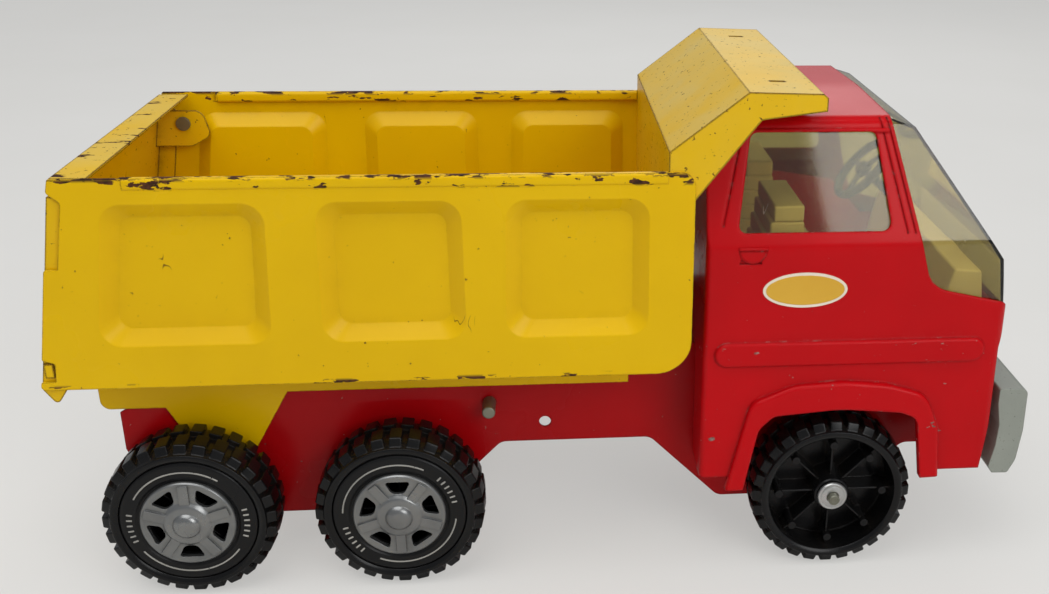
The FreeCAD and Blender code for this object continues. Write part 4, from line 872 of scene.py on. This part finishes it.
seatLook = {     # two ribbed seats, a console and a dashboard on one floor
    "floor": (61.0, 175.0, 65.0, 95.8, 97.8), "seatY": 34.0, "halfWidth": 19.0,
    "cushion": (89.0, 123.0, 97.8, 117.8), "backLow": 97.8, "backHigh": 160.4, "rolls": 9,
    "rollGap": 0.05, "backRear": (75.5, 12.0), "backFront": 101.2, "frontLean": 3.0,
    "ribs": 6, "ribRadius": 1.3, "console": (95.0, 161.0, 7.0, 111.8),
    "dash": ((155.0, 97.8), (175.0, 97.8), (175.0, 121.0), (173.5, 133.0), (162.0, 134.0), (159.0, 123.0)),
    "dashHalf": 58.0, "round": 2.0, "mouldingAt": 157.5, "mouldingDepth": 4.0,
    "mouldings": ((-44.0, 105.0, 20.0, 9.0), (-12.0, 104.0, 14.0, 12.0), (40.0, 106.0, 14.0, 9.0)),
}


def ribAlong(bm, start, end, radius):     # a round rib from one point to another
    run = Vector(end) - Vector(start)
    made = bmesh.ops.create_cone(bm, cap_ends=True, segments=12, radius1=radius, radius2=radius,
                                 depth=run.length)["verts"]
    bmesh.ops.rotate(bm, cent=(0, 0, 0), matrix=run.to_track_quat("Z", "Y").to_matrix(), verts=made)
    bmesh.ops.translate(bm, vec=Vector(start) + run / 2, verts=made)


seats = bmesh.new()
x0, x1, half, z0, z1 = seatLook["floor"]
block(seats, (x0, -half, z0), (x1, half, z1))
for sign in (-1, 1):
    middle = sign * seatLook["seatY"]
    x0, x1, z0, z1 = seatLook["cushion"]
    block(seats, (x0, middle - seatLook["halfWidth"], z0), (x1, middle + seatLook["halfWidth"], z1))
    rear, lean = seatLook["backRear"]
    height = seatLook["backHigh"] - seatLook["backLow"]
    for index in range(seatLook["rolls"]):     # each back is a stack of padded rolls
        share = index / seatLook["rolls"]
        z = seatLook["backLow"] + height * share
        rise = height / seatLook["rolls"] - seatLook["rollGap"]
        front = seatLook["backFront"] - seatLook["frontLean"] * share
        block(seats, (rear + lean * share, middle - seatLook["halfWidth"], z),
              (front, middle + seatLook["halfWidth"], z + rise))
x0, x1, half, top = seatLook["console"]
block(seats, (x0, -half, 97.8), (x1, half, top))
prism(seats, seatLook["dash"], -seatLook["dashHalf"], seatLook["dashHalf"])
x = seatLook["mouldingAt"]
for y, z, width, height in seatLook["mouldings"]:     # box mouldings on the dashboard's face
    block(seats, (x, y - width / 2, z), (x + seatLook["mouldingDepth"], y + width / 2, z + height))
softenEdges(seats, lambda e: e.calc_face_angle(0) > 0.35, seatLook["round"], 3)
step = seatLook["halfWidth"] * 2 / (seatLook["ribs"] + 1)
for sign in (-1, 1):
    for index in range(seatLook["ribs"]):     # rounded ribs along each cushion
        y = sign * seatLook["seatY"] - seatLook["halfWidth"] + step * (index + 1)
        ribAlong(seats, (122.0, y, 117.9), (102.0, y, 117.9), seatLook["ribRadius"])
addPiece(seats, "cabInterior", "chassis", cream, ["cab_interior"], 35.0)

wheelLook = {"at": (143.5, 26.0, 153.4), "lean": 48.7, "ring": 15.6, "wire": 2.0, "hub": 4.2,
             "column": 27.0, "spokes": (90.0, 210.0, 330.0), "spokeWidth": 3.0}
steering = bmesh.new()     # a thick ring with three flat spokes on its column
section = bmesh.ops.create_circle(steering, segments=14, radius=wheelLook["wire"])["verts"]
turnVerts(steering, section, 90, "X")
bmesh.ops.translate(steering, vec=(wheelLook["ring"], 0, 0), verts=section)
bmesh.ops.spin(steering, geom=section + list(steering.edges), cent=(0, 0, 0), axis=(0, 0, 1),
               angle=math.tau, steps=48, use_merge=True)
bmesh.ops.recalc_face_normals(steering, faces=steering.faces)
for angle in wheelLook["spokes"]:
    half = wheelLook["spokeWidth"] / 2
    spoke = block(steering, (2.0, -half, -0.6), (wheelLook["ring"] - 0.5, half, 0.9))
    turnVerts(steering, spoke, angle, "Z")
softenEdges(steering, lambda e: e.calc_face_angle(0) > 1.2, 0.35, 2)
bmesh.ops.create_cone(steering, cap_ends=True, segments=28, radius1=wheelLook["hub"], depth=3.6,
                      radius2=wheelLook["hub"] - 1.0)
column = bmesh.ops.create_cone(steering, cap_ends=True, segments=20, radius1=2.2, radius2=2.0,
                               depth=wheelLook["column"])["verts"]
bmesh.ops.translate(steering, vec=(0, 0, -wheelLook["column"] / 2), verts=column)
turnVerts(steering, steering.verts, -wheelLook["lean"], "Y")
bmesh.ops.translate(steering, vec=wheelLook["at"], verts=steering.verts)
addPiece(steering, "steeringWheel", "chassis", darkPlastic, ["steering_wheel"], 35.0)

labelLook = {"x": 97.4, "z": 129.9, "skin": 68.0, "halfLength": 17.2, "halfHeight": 7.5, "proud": 0.25,
             "lineInset": 1.2}
for sign, side in ((-1, "right"), (1, "left")):     # a plain oval sticker on each door
    for name, grow, proud, finish in (("doorSticker.", 0.0, labelLook["proud"], stickerCream),
                                      ("doorStickerField.", labelLook["lineInset"],
                                       labelLook["proud"] + 0.07, stickerField)):
        oval = bmesh.new()
        disc = bmesh.ops.create_circle(oval, cap_ends=True, segments=72, radius=1.0)["verts"]
        size = (labelLook["halfLength"] - grow, labelLook["halfHeight"] - grow, 1)
        bmesh.ops.scale(oval, vec=size, verts=disc)
        face = list(oval.faces)[0]
        made = bmesh.ops.extrude_face_region(oval, geom=[face])["geom"]
        bmesh.ops.translate(oval, vec=(0, 0, proud + 0.2),
                            verts=[v for v in made if isinstance(v, bmesh.types.BMVert)])
        turnVerts(oval, oval.verts, 90, "X")
        bmesh.ops.translate(oval, vec=(labelLook["x"], -labelLook["skin"] + 0.2, labelLook["z"]),
                            verts=oval.verts)
        if sign > 0:
            bmesh.ops.scale(oval, vec=(1, -1, 1), verts=oval.verts)
        bmesh.ops.recalc_face_normals(oval, faces=oval.faces)
        addPiece(oval, name + side, "chassis", finish, (), 40.0)

pullLook = {"x": 75.7, "z": 147.3, "radius": 5.9, "skin": 67.7, "proud": 68.35, "rim": 0.8, "sink": 0.3,
            "lip": 0.65, "lipHalf": 5.9}
for sign, side in ((-1, "right"), (1, "left")):     # each door's finger pull: a lip over a half round
    pull = bmesh.new()
    outline = [(pullLook["x"] - pullLook["radius"] * math.cos(math.pi * step / 24),
                pullLook["z"] - pullLook["radius"] * math.sin(math.pi * step / 24)) for step in range(25)]
    prism(pull, outline, -pullLook["proud"], -pullLook["skin"])
    dish = [face for face in pull.faces if face.normal.y < -0.9]
    bmesh.ops.inset_region(pull, faces=dish, thickness=pullLook["rim"], depth=0.0)
    bmesh.ops.translate(pull, vec=(0, pullLook["sink"], 0), verts=dish[0].verts)
    softenEdges(pull, lambda e: e.calc_face_angle(0) > 0.9, 0.2, 2)
    lip = bmesh.ops.create_cone(pull, cap_ends=True, segments=16, radius1=pullLook["lip"],
                                radius2=pullLook["lip"], depth=pullLook["lipHalf"] * 2)["verts"]
    turnVerts(pull, lip, 90, "Y")
    bmesh.ops.translate(pull, vec=(pullLook["x"], -pullLook["skin"] - 0.35, pullLook["z"] + 0.3), verts=lip)
    if sign > 0:
        bmesh.ops.scale(pull, vec=(1, -1, 1), verts=pull.verts)
    bmesh.ops.recalc_face_normals(pull, faces=pull.faces)
    addPiece(pull, "doorPull." + side, "chassis", cabPaint, (), 50.0)
print("chassis and cab made")


# floor, light and camera
floorColour = screen(222, 220, 216)
floorMesh = bmesh.new()
bmesh.ops.create_grid(floorMesh, x_segments=1, y_segments=1, size=4.0)
bmesh.ops.translate(floorMesh, vec=(0, 0, -0.0001), verts=floorMesh.verts)
floorData = bpy.data.meshes.new("floor")
floorMesh.to_mesh(floorData)
floorMesh.free()
floor = bpy.data.objects.new("floor", floorData)
bpy.context.scene.collection.objects.link(floor)
floorMaterial, tree, shader, out = newMaterial("palePaper")
paper = useGroup(tree, unevenness, Scale=6.0, GrainScale=300.0, Seed=70.0)
tree.links.new(mixed(tree, paper["Value"], floorColour, screen(216, 214, 209)), shader.inputs["Base Color"])
shader.inputs["Roughness"].default_value = 0.9
shader.inputs["Specular IOR Level"].default_value = 0.1
glow = put(tree, "Emission", {"Color": screen(232, 231, 228), "Strength": 1.0})
plainShare = times(tree, put(tree, "LightPath").outputs["Is Camera Ray"], 0.55)
both = put(tree, "MixShader", {0: plainShare, 1: shader.outputs[0], 2: glow.outputs[0]})
tree.links.new(both.outputs[0], out.inputs["Surface"])
floorData.materials.append(floorMaterial)

world = bpy.data.worlds.new("studio")
bpy.context.scene.world = world
world.use_nodes = True
tree = world.node_tree
tree.nodes.clear()
lightPath = put(tree, "LightPath").outputs
seen = maths(tree, "MAXIMUM", lightPath["Is Camera Ray"], lightPath["Is Transmission Ray"])
around = put(tree, "Background", {"Color": screen(236, 240, 246), "Strength": 0.42})
backdrop = put(tree, "Background", {"Color": screen(226, 225, 222), "Strength": 1.0})
both = put(tree, "MixShader", {0: seen, 1: around.outputs[0], 2: backdrop.outputs[0]})
put(tree, "OutputWorld", {"Surface": both.outputs[0]})

lampPlaces = {     # soft boxes: where each stands, where it points, its size and power
    "overhead": {"at": (-0.25, -0.35, 1.25), "to": (0.0, 0.0, 0.08), "size": 1.1, "power": 9.6},
    "front": {"at": (0.75, -1.15, 0.75), "to": (0.05, 0.0, 0.1), "size": 0.8, "power": 7.6},
    "back": {"at": (0.3, 1.2, 0.9), "to": (0.0, 0.0, 0.1), "size": 0.9, "power": 2.8},
}
for name, place in lampPlaces.items():
    lamp = bpy.data.lights.new(name, "AREA")
    lamp.size = place["size"]
    lamp.energy = place["power"]
    holder = bpy.data.objects.new(name, lamp)
    holder.location = place["at"]
    aim = Vector(place["to"]) - Vector(place["at"])
    holder.rotation_euler = aim.to_track_quat("-Z", "Y").to_euler()
    bpy.context.scene.collection.objects.link(holder)

cameraPlace = {"at": (-0.00805, -0.50304, 0.30441), "yaw": 6.2843, "pitch": 21.9277, "roll": 1.1415,
               "lens": 41.0, "shift": -0.131}
yaw, pitch, roll = (math.radians(cameraPlace[name]) for name in ("yaw", "pitch", "roll"))
level = Vector((math.sin(yaw), math.cos(yaw), 0.0))
side = Vector((math.cos(yaw), -math.sin(yaw), 0.0))
ahead = level * math.cos(pitch) - Vector((0, 0, 1)) * math.sin(pitch)
upward = Vector((0, 0, 1)) * math.cos(pitch) + level * math.sin(pitch)
right = side * math.cos(roll) + upward * math.sin(roll)
top = upward * math.cos(roll) - side * math.sin(roll)
camera = bpy.data.objects.new("camera", bpy.data.cameras.new("camera"))
turn = Matrix((right, top, -ahead)).transposed().to_4x4()
camera.matrix_world = Matrix.Translation(cameraPlace["at"]) @ turn
camera.data.sensor_width = 36.0
camera.data.lens = cameraPlace["lens"]
camera.data.shift_x = cameraPlace["shift"]
camera.data.clip_start = 0.01
bpy.context.scene.collection.objects.link(camera)
bpy.context.scene.camera = camera
bpy.context.scene.view_settings.view_transform = "Standard"
print("studio made")
